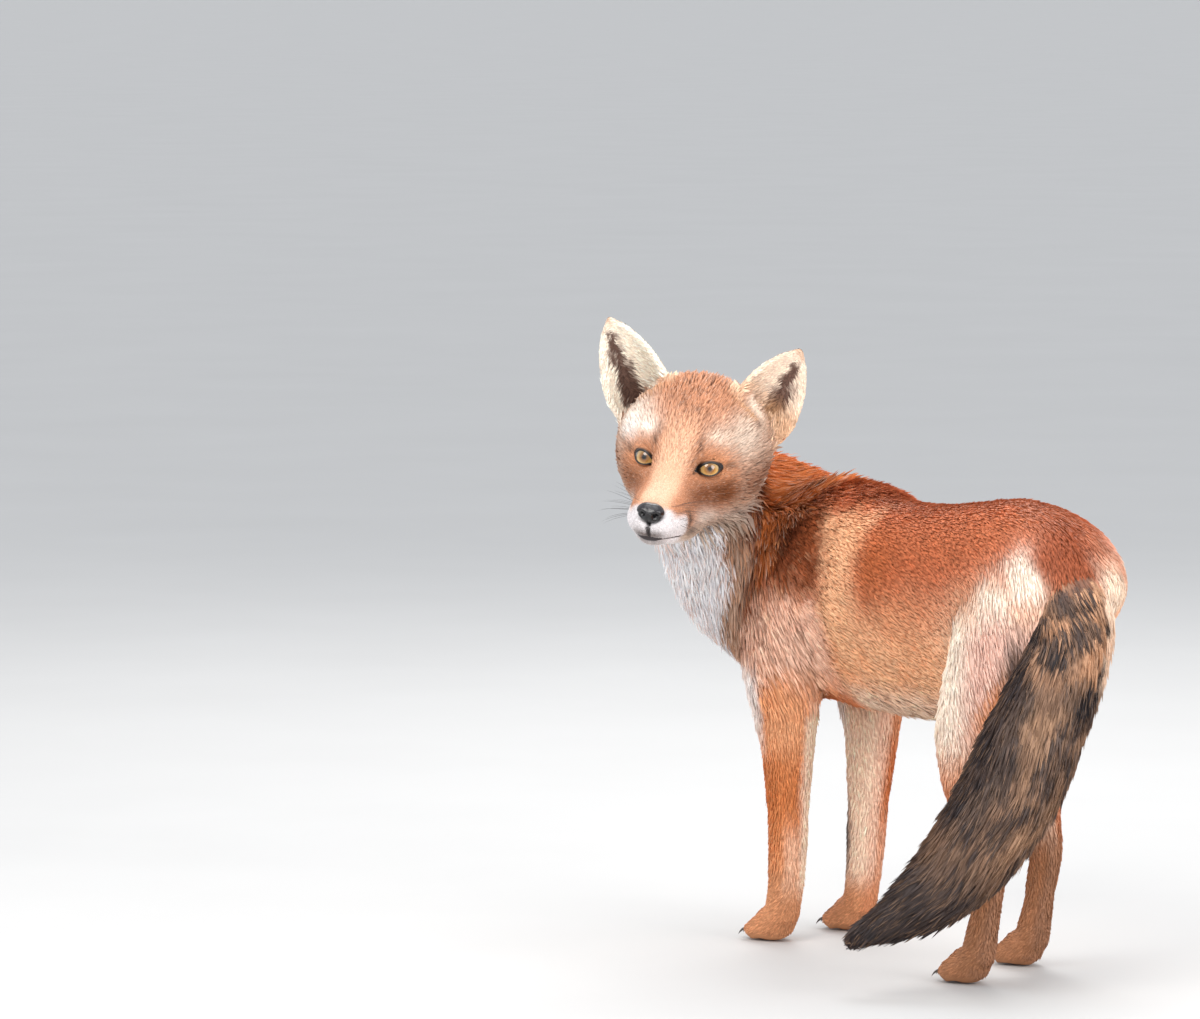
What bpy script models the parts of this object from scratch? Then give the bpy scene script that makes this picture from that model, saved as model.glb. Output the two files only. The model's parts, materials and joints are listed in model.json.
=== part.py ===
"""A life-size red fox in its thin summer coat, standing square and looking back over its left shoulder.

Metres, +Z up. The trunk faces -Y, its left side is +X, and the four paws stand on z = 0. The outlines are
those of the coat, out to the tips of the fur. The whole body is lofted from a few measured sections, fused
into one surface, and then parted into its named pieces with thin cuts.
"""

import math

import bmesh
import bpy
import numpy as np
from mathutils import Euler, Matrix, Vector

# ---------------------------------------------------------------- driving dimensions
SIDES = ((1, "left"), (-1, "right"))
GAP = 0.0004  # width of every cut between two pieces
ROOT_GAP = 0.0006  # clearance of the tail's and the ears' roots in their sockets
SLIVER = 2e-5  # edges shorter than this are closed up after a cut
FLAT = 0.8  # faces that turn by fewer degrees than this are joined after the cuts
CHIP = 1e-8  # loose bits of less than this volume are dropped
CLEAR = 0.0040  # how far a seam round the top of a limb stays off the limb's own loft
FUSE = 0.0030  # voxel at which the lofts are fused
FLESH_TRIANGLES = 2480
RING, STEPS = 24, 6  # points round a lofted section, and rings from one section to the next
TAIL_RING, TAIL_STEPS = 16, 2
SEAM_RING = 10

EYE_SPACING = 0.056
EYE_RADIUS = 0.0110
EYE_TURN = 24.0  # degrees that each eye looks outwards
EYE_FRONT = -0.0165
LID_SIZE = (0.0105, 0.0060, 0.0078)

EAR_LENGTH = 0.080
EAR_WIDTH = 0.058
EAR_WALL = 0.0040
EAR_PLACE = (0.0490, 0.0550, 0.0290)
EAR_ROWS, EAR_SIDES = 8, 8
# How each ear is held: how far its tip leans out, how far it leans forward, and how far it opens outwards.
EAR_POSES = {"left": (10.5, -36.0, 20.0), "right": (27.0, -10.0, 4.0)}

NOSE_PLACE = (0.0, -0.0900, -0.0300)
NOSE_RADII = (0.0118, 0.0085, 0.0090)

# Where the head is held: the point between the eyes, and the head's turn to the left, nod and roll.
HEAD_PLACE = Vector((0.1553, -0.1087, 0.4118))
HEAD_TURN = 131.6
HEAD_NOD = 3.8
HEAD_ROLL = 9.1
MOUTH_HEIGHT = -0.0450
MOUTH_CORNER = -0.0360

# Sections of the trunk, from the breast to the buttocks: y, half width, top and bottom heights.
TRUNK = (
    (-0.205, 0.026, 0.312, 0.236),
    (-0.186, 0.044, 0.340, 0.217),
    (-0.140, 0.059, 0.378, 0.206),
    (-0.085, 0.063, 0.394, 0.203),
    (-0.025, 0.064, 0.381, 0.199),
    (0.040, 0.061, 0.380, 0.200),
    (0.105, 0.057, 0.387, 0.209),
    (0.160, 0.058, 0.393, 0.228),
    (0.205, 0.053, 0.379, 0.250),
    (0.236, 0.037, 0.350, 0.270),
    (0.248, 0.018, 0.322, 0.284),
)

# Sections of the neck, which curls to the left: x, y, z, half width, and how far it reaches above and below.
NECK = (
    (0.000, -0.070, 0.285, 0.050, 0.096, 0.062),
    (0.002, -0.125, 0.285, 0.055, 0.114, 0.074),
    (0.022, -0.168, 0.304, 0.055, 0.112, 0.072),
    (0.048, -0.184, 0.335, 0.051, 0.099, 0.064),
    (0.078, -0.176, 0.365, 0.049, 0.070, 0.056),
    (0.104, -0.154, 0.386, 0.049, 0.050, 0.050),
)

# Sections of the head in its own frame, which faces -Y with the eyes at z = 0: y, half width, top, bottom,
# and how much wider it is above the middle than below.
HEAD = (
    (-0.0930, 0.0070, -0.0240, -0.0420, 0.0),
    (-0.0870, 0.0155, -0.0195, -0.0500, 0.0),
    (-0.0740, 0.0212, -0.0150, -0.0575, 0.0),
    (-0.0540, 0.0245, -0.0090, -0.0610, -0.10),
    (-0.0350, 0.0265, -0.0010, -0.0630, -0.14),
    (-0.0160, 0.0325, 0.0120, -0.0640, -0.10),
    (0.0060, 0.0490, 0.0330, -0.0650, 0.0),
    (0.0300, 0.0615, 0.0520, -0.0660, 0.02),
    (0.0550, 0.0660, 0.0620, -0.0640, 0.02),
    (0.0820, 0.0625, 0.0600, -0.0570, 0.0),
    (0.1080, 0.0520, 0.0470, -0.0450, 0.0),
    (0.1240, 0.0290, 0.0270, -0.0260, 0.0),
)

# Each leg's sections, top to paw: x, y, z, half width, half depth. The right legs are the left ones shifted.
FORE_LEG = (
    (0.034, -0.098, 0.345, 0.018, 0.030),
    (0.040, -0.112, 0.300, 0.026, 0.044),
    (0.045, -0.118, 0.240, 0.028, 0.044),
    (0.047, -0.108, 0.200, 0.0255, 0.034),
    (0.046, -0.106, 0.160, 0.021, 0.025),
    (0.044, -0.108, 0.110, 0.0175, 0.0195),
    (0.043, -0.110, 0.070, 0.0165, 0.0185),
    (0.043, -0.113, 0.045, 0.0150, 0.0160),
    (0.043, -0.118, 0.020, 0.0150, 0.0160),
)
HIND_LEG = (
    (0.036, 0.196, 0.345, 0.018, 0.036),
    (0.040, 0.186, 0.300, 0.027, 0.055),
    (0.046, 0.168, 0.245, 0.029, 0.052),
    (0.052, 0.152, 0.200, 0.0265, 0.040),
    (0.054, 0.154, 0.160, 0.022, 0.028),
    (0.052, 0.166, 0.125, 0.0155, 0.0195),
    (0.051, 0.174, 0.100, 0.0135, 0.0165),
    (0.050, 0.169, 0.070, 0.0130, 0.0140),
    (0.050, 0.162, 0.040, 0.0135, 0.0145),
    (0.050, 0.156, 0.020, 0.0145, 0.0160),
)
RIGHT_FORE_SHIFT = Vector((-0.002, -0.008, 0.0))
RIGHT_HIND_SHIFT = Vector((0.006, -0.048, 0.0))
TOP_ROWS = 4  # sections of a leg that its shoulder or thigh takes
LEG_SEAMS = {"fore": {"wrist": 0.052}, "hind": {"hock": 0.108, "ankle": 0.042}}
LEG_PIECES = {
    "fore": {"shoulder": 0.270, "forearm": 0.120, "paw": 0.020},
    "hind": {"thigh": 0.260, "shank": 0.150, "shin": 0.075, "paw": 0.020},
}

PAW_LENGTH = 0.050
PAW_WIDTH = 0.036
PAW_HEIGHT = 0.030
TOE_RADIUS = 0.0088
CLAW_LENGTH = 0.012

# The tail hangs from the rump and swings to the left: x, y, z, half width, half depth.
TAIL = (
    (0.000, 0.200, 0.342, 0.026, 0.026),
    (0.006, 0.231, 0.322, 0.031, 0.028),
    (0.026, 0.250, 0.284, 0.036, 0.031),
    (0.048, 0.246, 0.232, 0.040, 0.036),
    (0.071, 0.234, 0.172, 0.041, 0.038),
    (0.099, 0.216, 0.116, 0.035, 0.034),
    (0.130, 0.200, 0.082, 0.026, 0.026),
    (0.158, 0.180, 0.060, 0.016, 0.016),
    (0.180, 0.158, 0.047, 0.006, 0.006),
)
TAIL_SEAMS = (3, 5, 6)
TAIL_PIECES = {"tail_base": 2, "tail_middle": 4, "tail_end": 5, "tail_tip": 7}

# Colour and roughness of each node, by the start of its name.
FINISHES = {
    "head": ((0.50, 0.25, 0.11), 0.85),
    "muzzle": ((0.62, 0.45, 0.30), 0.85),
    "lower_jaw": ((0.75, 0.70, 0.64), 0.85),
    "nose": ((0.020, 0.018, 0.022), 0.35),
    "eye": ((0.50, 0.26, 0.04), 0.08),
    "ear": ((0.55, 0.44, 0.33), 0.85),
    "neck": ((0.34, 0.14, 0.06), 0.90),
    "chest": ((0.42, 0.17, 0.06), 0.90),
    "loin": ((0.50, 0.20, 0.06), 0.90),
    "rump": ((0.46, 0.16, 0.05), 0.90),
    "fore": ((0.46, 0.20, 0.08), 0.90),
    "hind": ((0.45, 0.21, 0.09), 0.90),
    "tail": ((0.10, 0.065, 0.045), 0.90),
}


# ---------------------------------------------------------------- small helpers
def head_matrix():
    """Carries a point from the head's own frame to its place on the fox."""
    turn = Euler((math.radians(HEAD_NOD), 0.0, 0.0)).to_matrix()
    roll = Matrix.Rotation(math.radians(HEAD_ROLL), 3, "Y")
    yaw = Matrix.Rotation(math.radians(HEAD_TURN), 3, "Z")
    return Matrix.Translation(HEAD_PLACE) @ (yaw @ turn @ roll).to_4x4()


def smooth_rows(rows, steps=STEPS):
    """Rows of numbers with more rows between them, on a Catmull-Rom curve through the given ones."""
    table = np.array(rows, float)
    padded = np.vstack([2 * table[0] - table[1], table, 2 * table[-1] - table[-2]])
    out = []
    for i in range(len(table) - 1):
        a, b, c, d = padded[i : i + 4]
        for t in np.arange(steps) / steps:
            square, cube = 2 * a - 5 * b + 4 * c - d, 3 * b - a - 3 * c + d
            out.append(0.5 * (2 * b + (c - a) * t + square * t**2 + cube * t**3))
    return out + [table[-1]]


def loft(bm, centres, halves, across=None, matrix=None, count=RING):
    """Adds a closed tube. halves are (sideways, up, down, taper) per centre; across is its sideways axis."""
    rings = []
    for i, centre in enumerate(centres):
        ahead = (centres[min(i + 1, len(centres) - 1)] - centres[max(i - 1, 0)]).normalized()
        side = Vector(across) if across else ahead.cross(Vector((0, 0, 1)))
        side = (side - side.dot(ahead) * ahead).normalized()
        up = side.cross(ahead)
        wide, high, low, taper = halves[i]
        ring = []
        for k in range(count):
            angle = 2 * math.pi * k / count
            c, s = math.cos(angle), math.sin(angle)
            point = centre + side * (wide * c * (1 + taper * s)) + up * ((high if s > 0 else low) * s)
            ring.append(bm.verts.new(matrix @ point if matrix else point))
        rings.append(ring)
    for a, b in zip(rings, rings[1:]):
        strip(bm, [*a, a[0]], [*b, b[0]])
    bm.faces.new(list(reversed(rings[0])))
    bm.faces.new(rings[-1])


def strip(bm, a, b):
    """Joins two rows of corners with triangles, always on the same diagonal."""
    for k in range(len(a) - 1):
        bm.faces.new((a[k], a[k + 1], b[k + 1]))
        bm.faces.new((a[k], b[k + 1], b[k]))


def with_ends(points, grow):
    """A row of points with its two ends moved outwards."""
    first = points[0] + (points[0] - points[1]).normalized() * grow
    last = points[-1] + (points[-1] - points[-2]).normalized() * grow
    return [first, *points[1:-1], last]


def ball(bm, centre, radii, matrix=None):
    """Adds an ellipsoid with these three radii."""
    place = Matrix.Translation(centre) @ Matrix.Diagonal((*radii, 1.0))
    place = (matrix or Matrix()) @ place
    bmesh.ops.create_uvsphere(bm, u_segments=12, v_segments=8, radius=1.0, matrix=place)


def new_object(name, bm):
    bmesh.ops.recalc_face_normals(bm, faces=bm.faces)
    mesh = bpy.data.meshes.new(name)
    bm.to_mesh(mesh)
    bm.free()
    obj = bpy.data.objects.new(name, mesh)
    bpy.context.scene.collection.objects.link(obj)
    return obj


def baked(obj):
    """The object with its modifiers applied to its mesh."""
    bpy.context.view_layer.update()
    graph = bpy.context.evaluated_depsgraph_get()
    mesh = bpy.data.meshes.new_from_object(obj.evaluated_get(graph))
    obj.modifiers.clear()
    obj.data = mesh
    return obj


# ---------------------------------------------------------------- the lofted body
def add_trunk(bm):
    rows = smooth_rows(TRUNK)
    centres = [Vector((0.0, r[0], (r[2] * 0.55 + r[3] * 0.45))) for r in rows]
    halves = [(r[1], r[2] - c.z, c.z - r[3], 0.10) for r, c in zip(rows, centres)]
    loft(bm, centres, halves, across=(1, 0, 0))


def add_neck(bm):
    rows = smooth_rows(NECK)
    centres = [Vector(r[:3]) for r in rows]
    loft(bm, centres, [(*r[3:6], 0.0) for r in rows])


def add_head(bm):
    rows = smooth_rows(HEAD)
    centres = [Vector((0.0, r[0], (r[2] + r[3]) / 2)) for r in rows]
    halves = [(r[1], r[2] - c.z, c.z - r[3], r[4]) for r, c in zip(rows, centres)]
    loft(bm, centres, halves, across=(1, 0, 0), matrix=head_matrix())


def leg_rows(rows, side, shift, steps=STEPS):
    moved = []
    for x, y, z, wide, deep in smooth_rows(rows, steps):
        moved.append((Vector((side * x, y, z)) + shift, wide, deep))
    return moved


def add_leg(bm, rows, side, shift):
    moved = leg_rows(rows, side, shift)
    loft(bm, [m[0] for m in moved], [(m[1], m[2], m[2], 0.0) for m in moved], across=(1, 0, 0))


def paw_place(rows, side, shift):
    """The floor point under the middle of a paw."""
    x, y = rows[-1][:2]
    return Vector((side * x, y - PAW_LENGTH * 0.28, 0.0)) + shift


def toe_places(centre):
    """The four toes of a paw: the two middle ones lie further forward."""
    for k in (-1.5, -0.5, 0.5, 1.5):
        ahead = PAW_LENGTH * (0.30 if abs(k) < 1 else 0.17)
        yield centre + Vector((k * PAW_WIDTH * 0.25, -ahead, TOE_RADIUS * 0.95)), k


def add_paw(bm, centre):
    ball(
        bm,
        centre + Vector((0, PAW_LENGTH * 0.05, PAW_HEIGHT * 0.47)),
        (PAW_WIDTH * 0.5, PAW_LENGTH * 0.42, PAW_HEIGHT * 0.55),
    )
    for place, _ in toe_places(centre):
        ball(bm, place, (TOE_RADIUS * 0.80, TOE_RADIUS * 1.45, TOE_RADIUS * 1.05))


def all_claws(name):
    bm = bmesh.new()
    for rows, side, shift in LEGS.values():
        add_claws(bm, paw_place(rows, side, shift))
    return new_object(name, bm)


def add_claws(bm, centre):
    for place, k in toe_places(centre):
        root = place + Vector((0, -TOE_RADIUS * 1.05, 0.0))
        tip = root + Vector((k * 0.0006, -CLAW_LENGTH * 0.75, -TOE_RADIUS * 0.62))
        axis = (tip - root).to_track_quat("Z", "Y").to_matrix().to_4x4()
        bmesh.ops.create_cone(
            bm,
            cap_ends=True,
            segments=4,
            radius1=0.0019,
            radius2=0.0004,
            depth=CLAW_LENGTH,
            matrix=Matrix.Translation((root + tip) / 2) @ axis,
        )


def ear_matrix(side, lean, nod, swing):
    """Carries a point from an ear's own frame (tip up, opening to -Y) to the head's own frame."""
    place = Matrix.Translation((side * EAR_PLACE[0], EAR_PLACE[1], EAR_PLACE[2]))
    roll = Matrix.Rotation(math.radians(side * lean), 4, "Y")
    pitch = Matrix.Rotation(math.radians(nod), 4, "X")
    yaw = Matrix.Rotation(math.radians(side * swing), 4, "Z")
    return place @ roll @ pitch @ yaw


def ear_sheet(side, grow):
    """The cupped leaf of an ear as columns of points, each from below its base to its rounded tip."""
    rows = []
    for j in range(EAR_ROWS + 1):
        v = -0.15 + 1.15 * j / EAR_ROWS
        height = max(0.0, v)
        spread = max(0.04, (1 - max(0.0, (v - 0.1) / 0.9) ** 2.1) ** 0.75) - 0.9 * max(0.0, 0.15 - v)
        half_angle = math.radians(98 - 62 * height**0.8)
        radius = EAR_WIDTH / 2 * spread / math.sin(min(half_angle, math.pi / 2))
        lateral = side * EAR_WIDTH * 0.10 * height**1.6
        row = []
        for k in range(EAR_SIDES + 1):
            angle = half_angle * (2 * k / EAR_SIDES - 1)
            back = radius * (math.cos(angle) - math.cos(half_angle))
            row.append(Vector((lateral + radius * math.sin(angle), back - 0.006 * v, v * EAR_LENGTH)))
        rows.append(with_ends(row, grow))
    return [with_ends(column, grow) for column in zip(*rows)]


def ear(name, side, pose, grow=0.0):
    bm = bmesh.new()
    matrix = head_matrix() @ ear_matrix(side, *pose)
    grid = [[bm.verts.new(matrix @ p) for p in column] for column in ear_sheet(side, grow)]
    for a, b in zip(grid, grid[1:]):
        strip(bm, a, b)
    obj = new_object(name, bm)
    wall = obj.modifiers.new("wall", "SOLIDIFY")
    wall.thickness = EAR_WALL + 2 * grow
    wall.offset = 0.0
    return baked(obj)


def eye(name, side, grow=0.0):
    bm = bmesh.new()
    place = Vector((side * EYE_SPACING / 2, EYE_FRONT, 0.0)) - eye_axis(side) * EYE_RADIUS
    ball(bm, place, (EYE_RADIUS + grow,) * 3, head_matrix())
    return new_object(name, bm)


def eye_axis(side):
    """The way an eye looks, in the head's own frame."""
    turn = math.radians(EYE_TURN)
    return Vector((side * math.sin(turn), -math.cos(turn), 0.06)).normalized()


def nose(name, grow=0.0):
    bm = bmesh.new()
    ball(bm, Vector(NOSE_PLACE), [r + grow for r in NOSE_RADII], head_matrix())
    return new_object(name, bm)


def tail(name, grow=0.0):
    bm = bmesh.new()
    rows = smooth_rows(TAIL, TAIL_STEPS)
    halves = [(r[3] + grow, r[4] + grow, r[4] + grow, 0.0) for r in rows]
    loft(bm, with_ends([Vector(r[:3]) for r in rows], grow), halves, across=(1, 0.5, 0), count=TAIL_RING)
    return new_object(name, bm)


LEGS = {
    "fore_left": (FORE_LEG, 1, Vector()),
    "fore_right": (FORE_LEG, -1, RIGHT_FORE_SHIFT),
    "hind_left": (HIND_LEG, 1, Vector()),
    "hind_right": (HIND_LEG, -1, RIGHT_HIND_SHIFT),
}


def fused_body():
    """Every loft as one closed surface, smoothed where limbs meet the trunk."""
    bm = bmesh.new()
    add_trunk(bm)
    add_neck(bm)
    add_head(bm)
    for rows, side, shift in LEGS.values():
        add_leg(bm, rows, side, shift)
        add_paw(bm, paw_place(rows, side, shift))
    body = new_object("fused_body", bm)
    remesh = body.modifiers.new("fuse", "REMESH")
    remesh.mode = "VOXEL"
    remesh.voxel_size = FUSE
    baked(body)
    group = body.vertex_groups.new(name="soft")
    to_head = head_matrix().inverted()
    for vertex in body.data.vertices:
        in_head = (to_head @ vertex.co).y < 0.06
        softness = 0.08 + 0.92 * min(1.0, max(0.0, (vertex.co.z - 0.14) / 0.10)) ** 2
        group.add([vertex.index], 0.08 if in_head else softness, "REPLACE")
    smooth = body.modifiers.new("blend", "SMOOTH")
    smooth.factor = 0.5
    smooth.iterations = 60
    smooth.vertex_group = "soft"
    baked(body)
    decimate = body.modifiers.new("thin", "DECIMATE")
    decimate.ratio = FLESH_TRIANGLES / sum(len(p.vertices) - 2 for p in body.data.polygons)
    return baked(body)


# ---------------------------------------------------------------- cutters and pieces
def cutter(obj):
    obj.hide_render = True
    obj.display_type = "WIRE"
    return obj


def slab(name, place, normal, wide, tall, matrix=None, sides=16):
    """A disc as thin as the gap between two pieces, square to normal, with these half sizes."""
    ahead = Vector(normal).normalized()
    across = ahead.cross(Vector((0, 0, 1)))
    across = across.normalized() if across.length > 0.01 else Vector((1, 0, 0))
    turn = Matrix((across, ahead.cross(across), ahead)).transposed().to_4x4()
    size = Matrix.Diagonal((wide, tall, GAP, 1.0))
    radius = 1.0
    if sides == 4:
        radius = math.sqrt(2)
        size = size @ Matrix.Rotation(math.pi / 4, 4, "Z")
    place = (matrix or Matrix()) @ Matrix.Translation(place) @ turn @ size
    bm = bmesh.new()
    bmesh.ops.create_cone(
        bm, cap_ends=True, segments=sides, radius1=radius, radius2=radius, depth=1.0, matrix=place
    )
    return cutter(new_object(name, bm))


def sleeve(name, rows):
    """A closed sheet round the top of a leg, as thin as the gap between two pieces."""
    centres = [r[0] for r in rows]
    shell = bmesh.new()
    for grow in (CLEAR + GAP, CLEAR):
        layer = bmesh.new()
        halves = [(r[1] + grow, r[2] + grow, r[2] + grow, 0.0) for r in rows]
        loft(layer, with_ends(centres, grow), halves, across=(1, 0, 0), count=SEAM_RING)
        bmesh.ops.recalc_face_normals(layer, faces=layer.faces)
        if grow == CLEAR:
            bmesh.ops.reverse_faces(layer, faces=layer.faces)
        mesh = bpy.data.meshes.new(name)
        layer.to_mesh(mesh)
        layer.free()
        shell.from_mesh(mesh)
        bpy.data.meshes.remove(mesh)
    mesh = bpy.data.meshes.new(name)
    shell.to_mesh(mesh)
    shell.free()
    obj = bpy.data.objects.new(name, mesh)
    bpy.context.scene.collection.objects.link(obj)
    return cutter(obj)


def combine(obj, operation, other):
    """The object joined with or cut by the other one, which is then gone."""
    boolean = obj.modifiers.new(other.name, "BOOLEAN")
    boolean.operation = operation
    boolean.object = other
    boolean.solver = "EXACT"
    baked(obj)
    bpy.data.objects.remove(other)
    bm = bmesh.new()
    bm.from_mesh(obj.data)
    bmesh.ops.triangulate(bm, faces=bm.faces)
    bmesh.ops.dissolve_degenerate(bm, edges=bm.edges, dist=SLIVER)
    bmesh.ops.delete(bm, geom=flaps(bm), context="FACES")
    bm.to_mesh(obj.data)
    bm.free()


def flaps(bm):
    """Faces that enclose nothing: two back to back on the same corners, or one that hangs off an edge."""
    pairs = {}
    for face in bm.faces:
        pairs.setdefault(frozenset(face.verts), []).append(face)
    back_to_back = [face for pair in pairs.values() if len(pair) > 1 for face in pair]
    hanging = []
    for face in bm.faces:
        uses = [len(edge.link_faces) for edge in face.edges]
        if min(uses) == 1 and max(uses) > 2:
            hanging.append(face)
    return back_to_back or hanging


def body_cutters():
    """The cuts that part the legs from the torso, and each leg into its lengths."""
    yield floor_block("floor_block")
    for name, (rows, side, shift) in LEGS.items():
        yield sleeve(f"{name}_sleeve", leg_rows(rows[:TOP_ROWS], side, shift, 1))
        for seam, height in LEG_SEAMS[name[:4]].items():
            place = leg_point(rows, side, shift, height)
            yield slab(f"{name}_{seam}", place, (0, 0, 1), 0.026, 0.030)


def torso_cutters():
    """The sockets of the head, and the seams from the muzzle to the rump."""
    head = head_matrix()
    for side, word in SIDES:
        yield eye(f"eye_socket_{word}", side, GAP)
        yield lid_opening(f"lid_opening_{word}", side)
        yield ear(f"ear_slot_{word}", side, EAR_POSES[word], ROOT_GAP)
    yield nose("nose_socket", GAP)
    mouth_middle = (EYE_FRONT - 0.11 + MOUTH_CORNER) / 2
    mouth_reach = MOUTH_CORNER - mouth_middle
    yield slab("muzzle_seam", (0.0, MOUTH_CORNER, -0.030), (0, 1, 0), 0.045, 0.055, head)
    yield slab("mouth_seam", (0.0, mouth_middle, MOUTH_HEIGHT), (0, 0, 1), 0.040, mouth_reach, head, sides=4)
    yield slab("nape_seam", (0.0, 0.078, -0.020), (0.0, -0.73, 0.69), 0.090, 0.100, head)
    yield slab("neck_seam", (0.0, -0.150, 0.305), (0.25, -0.84, 0.50), 0.088, 0.130)
    yield slab("chest_seam", (0.0, -0.045, 0.290), (0, 1, 0), 0.085, 0.125)
    yield slab("loin_seam", (0.0, 0.080, 0.295), (-0.38, 0.92, 0), 0.090, 0.120)


def tail_cutters():
    for row in TAIL_SEAMS:
        here, after = Vector(TAIL[row][:3]), Vector(TAIL[row + 1][:3])
        yield slab(f"tail_seam_{row}", here, after - here, 0.060, 0.060)


def lid_opening(name, side):
    """The slit between the lids, which bares the front of the eye."""
    axis = eye_axis(side)
    turn = axis.to_track_quat("-Y", "Z").to_matrix().to_4x4()
    place = Vector((side * EYE_SPACING / 2, EYE_FRONT, 0.0)) + axis * LID_SIZE[1] * 0.45
    bm = bmesh.new()
    ball(bm, Vector(), LID_SIZE, head_matrix() @ Matrix.Translation(place) @ turn)
    return cutter(new_object(name, bm))


def floor_block(name):
    """Everything below the floor, so that the paws stand on flats."""
    size = 0.8
    bm = bmesh.new()
    place = Matrix.Translation((0, 0, -size / 2)) @ Matrix.Scale(size, 4)
    bmesh.ops.create_cube(bm, matrix=place)
    return cutter(new_object(name, bm))


def leg_point(rows, side, shift, height):
    """The middle of a leg at a height."""
    return min((m[0] for m in leg_rows(rows, side, shift)), key=lambda p: abs(p.z - height))


def body_anchors():
    """A point inside each piece that the legs are parted into, and one inside the torso."""
    points = {"torso": Vector((0.02, -0.03, 0.33))}
    for name, (rows, side, shift) in LEGS.items():
        for piece, height in LEG_PIECES[name[:4]].items():
            points[f"{name}_{piece}"] = leg_point(rows, side, shift, height)
    return points


def torso_anchors():
    """A point inside each piece that the torso is parted into."""
    head = head_matrix()
    return {
        "head": head @ Vector((0.0, 0.040, 0.0)),
        "muzzle": head @ Vector((0.0, -0.060, -0.025)),
        "lower_jaw": head @ Vector((0.0, -0.060, -0.053)),
        "neck": Vector(NECK[3][:3]),
        "chest": Vector((0.0, -0.100, 0.290)),
        "loin": Vector((0.0, 0.020, 0.290)),
        "rump": Vector((0.0, 0.170, 0.320)),
    }


def islands(obj):
    """The closed surfaces that an object's mesh holds, each as a bmesh."""
    whole = bmesh.new()
    whole.from_mesh(obj.data)
    bmesh.ops.triangulate(whole, faces=whole.faces)
    left = set(whole.verts)
    while left:
        group, edge = set(), [left.pop()]
        while edge:
            vertex = edge.pop()
            group.add(vertex)
            near = [e.other_vert(vertex) for e in vertex.link_edges]
            fresh = [v for v in near if v in left]
            left.difference_update(fresh)
            edge += fresh
        piece = bmesh.new()
        copies = {v: piece.verts.new(v.co) for v in group}
        for face in {f for v in group for f in v.link_faces}:
            piece.faces.new([copies[v] for v in face.verts])
        piece.normal_update()
        yield flattened(piece)
    whole.free()


def flattened(piece):
    """The piece with its nearly flat stretches made of fewer triangles, where that keeps it closed."""
    for angle in (FLAT, FLAT / 3, FLAT / 9):
        light = piece.copy()
        bmesh.ops.dissolve_limit(light, angle_limit=math.radians(angle), verts=light.verts, edges=light.edges)
        bmesh.ops.triangulate(light, faces=light.faces)
        if all(edge.is_manifold for edge in light.edges) and not flaps(light):
            piece.free()
            return light
        light.free()
    return piece


def tail_anchors():
    return {name: Vector(TAIL[row][:3]) for name, row in TAIL_PIECES.items()}


def part_out(whole, cutters, points):
    """Cuts an object and replaces it by its pieces, each named after the point nearest to its middle."""
    for tool in list(cutters):
        combine(whole, "DIFFERENCE", tool)
    pieces = [piece for piece in islands(whole) if piece.calc_volume() > CHIP]
    bpy.data.objects.remove(whole)
    if len(pieces) != len(points):
        raise ValueError(f"{len(pieces)} pieces for {len(points)} names")
    for piece in sorted(pieces, key=lambda p: -p.calc_volume()):
        middle = sum((v.co for v in piece.verts), Vector()) / len(piece.verts)
        name = min(points, key=lambda n: (points[n] - middle).length)
        del points[name]
        new_object(name, piece)


def finish(obj):
    """Gives a node its own material."""
    colour, roughness = next(look for start, look in FINISHES.items() if obj.name.startswith(start))
    material = bpy.data.materials.new(f"{obj.name}_finish")
    material.use_nodes = True
    shader = material.node_tree.nodes["Principled BSDF"]
    shader.inputs["Base Color"].default_value = (*colour, 1.0)
    shader.inputs["Roughness"].default_value = roughness
    shader.inputs["Metallic"].default_value = 0.0
    obj.data.materials.clear()
    obj.data.materials.append(material)


def stand_on_origin(objects):
    """Moves everything so that the origin is at the middle of the bottom of the whole model."""
    points = np.array([v.co for obj in objects for v in obj.data.vertices])
    low, high = points.min(axis=0), points.max(axis=0)
    shift = Matrix.Translation((-(low[0] + high[0]) / 2, -(low[1] + high[1]) / 2, -low[2]))
    for obj in objects:
        obj.data.transform(shift)


def build():
    for obj in list(bpy.data.objects):
        bpy.data.objects.remove(obj)
    body = fused_body()
    combine(body, "DIFFERENCE", tail("tail_socket", ROOT_GAP))
    combine(body, "UNION", all_claws("claws"))
    part_out(body, body_cutters(), body_anchors())
    part_out(bpy.data.objects["torso"], torso_cutters(), torso_anchors())
    part_out(tail("tail"), tail_cutters(), tail_anchors())
    for side, word in SIDES:
        ear(f"ear_{word}", side, EAR_POSES[word])
        eye(f"eye_{word}", side)
    nose("nose")
    nodes = list(bpy.data.objects)
    for obj in nodes:
        finish(obj)
    stand_on_origin(nodes)


build()
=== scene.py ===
# A life-size red fox in its summer coat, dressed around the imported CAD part: one skin, a coat of solid
# tufts that follows the lie of the hair, glassy amber eyes, a moist nose, lips, claws and whiskers.
import json
import math

import bmesh
import bpy
import numpy as np
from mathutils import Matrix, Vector
from mathutils.bvhtree import BVHTree
from mathutils.kdtree import KDTree

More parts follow.
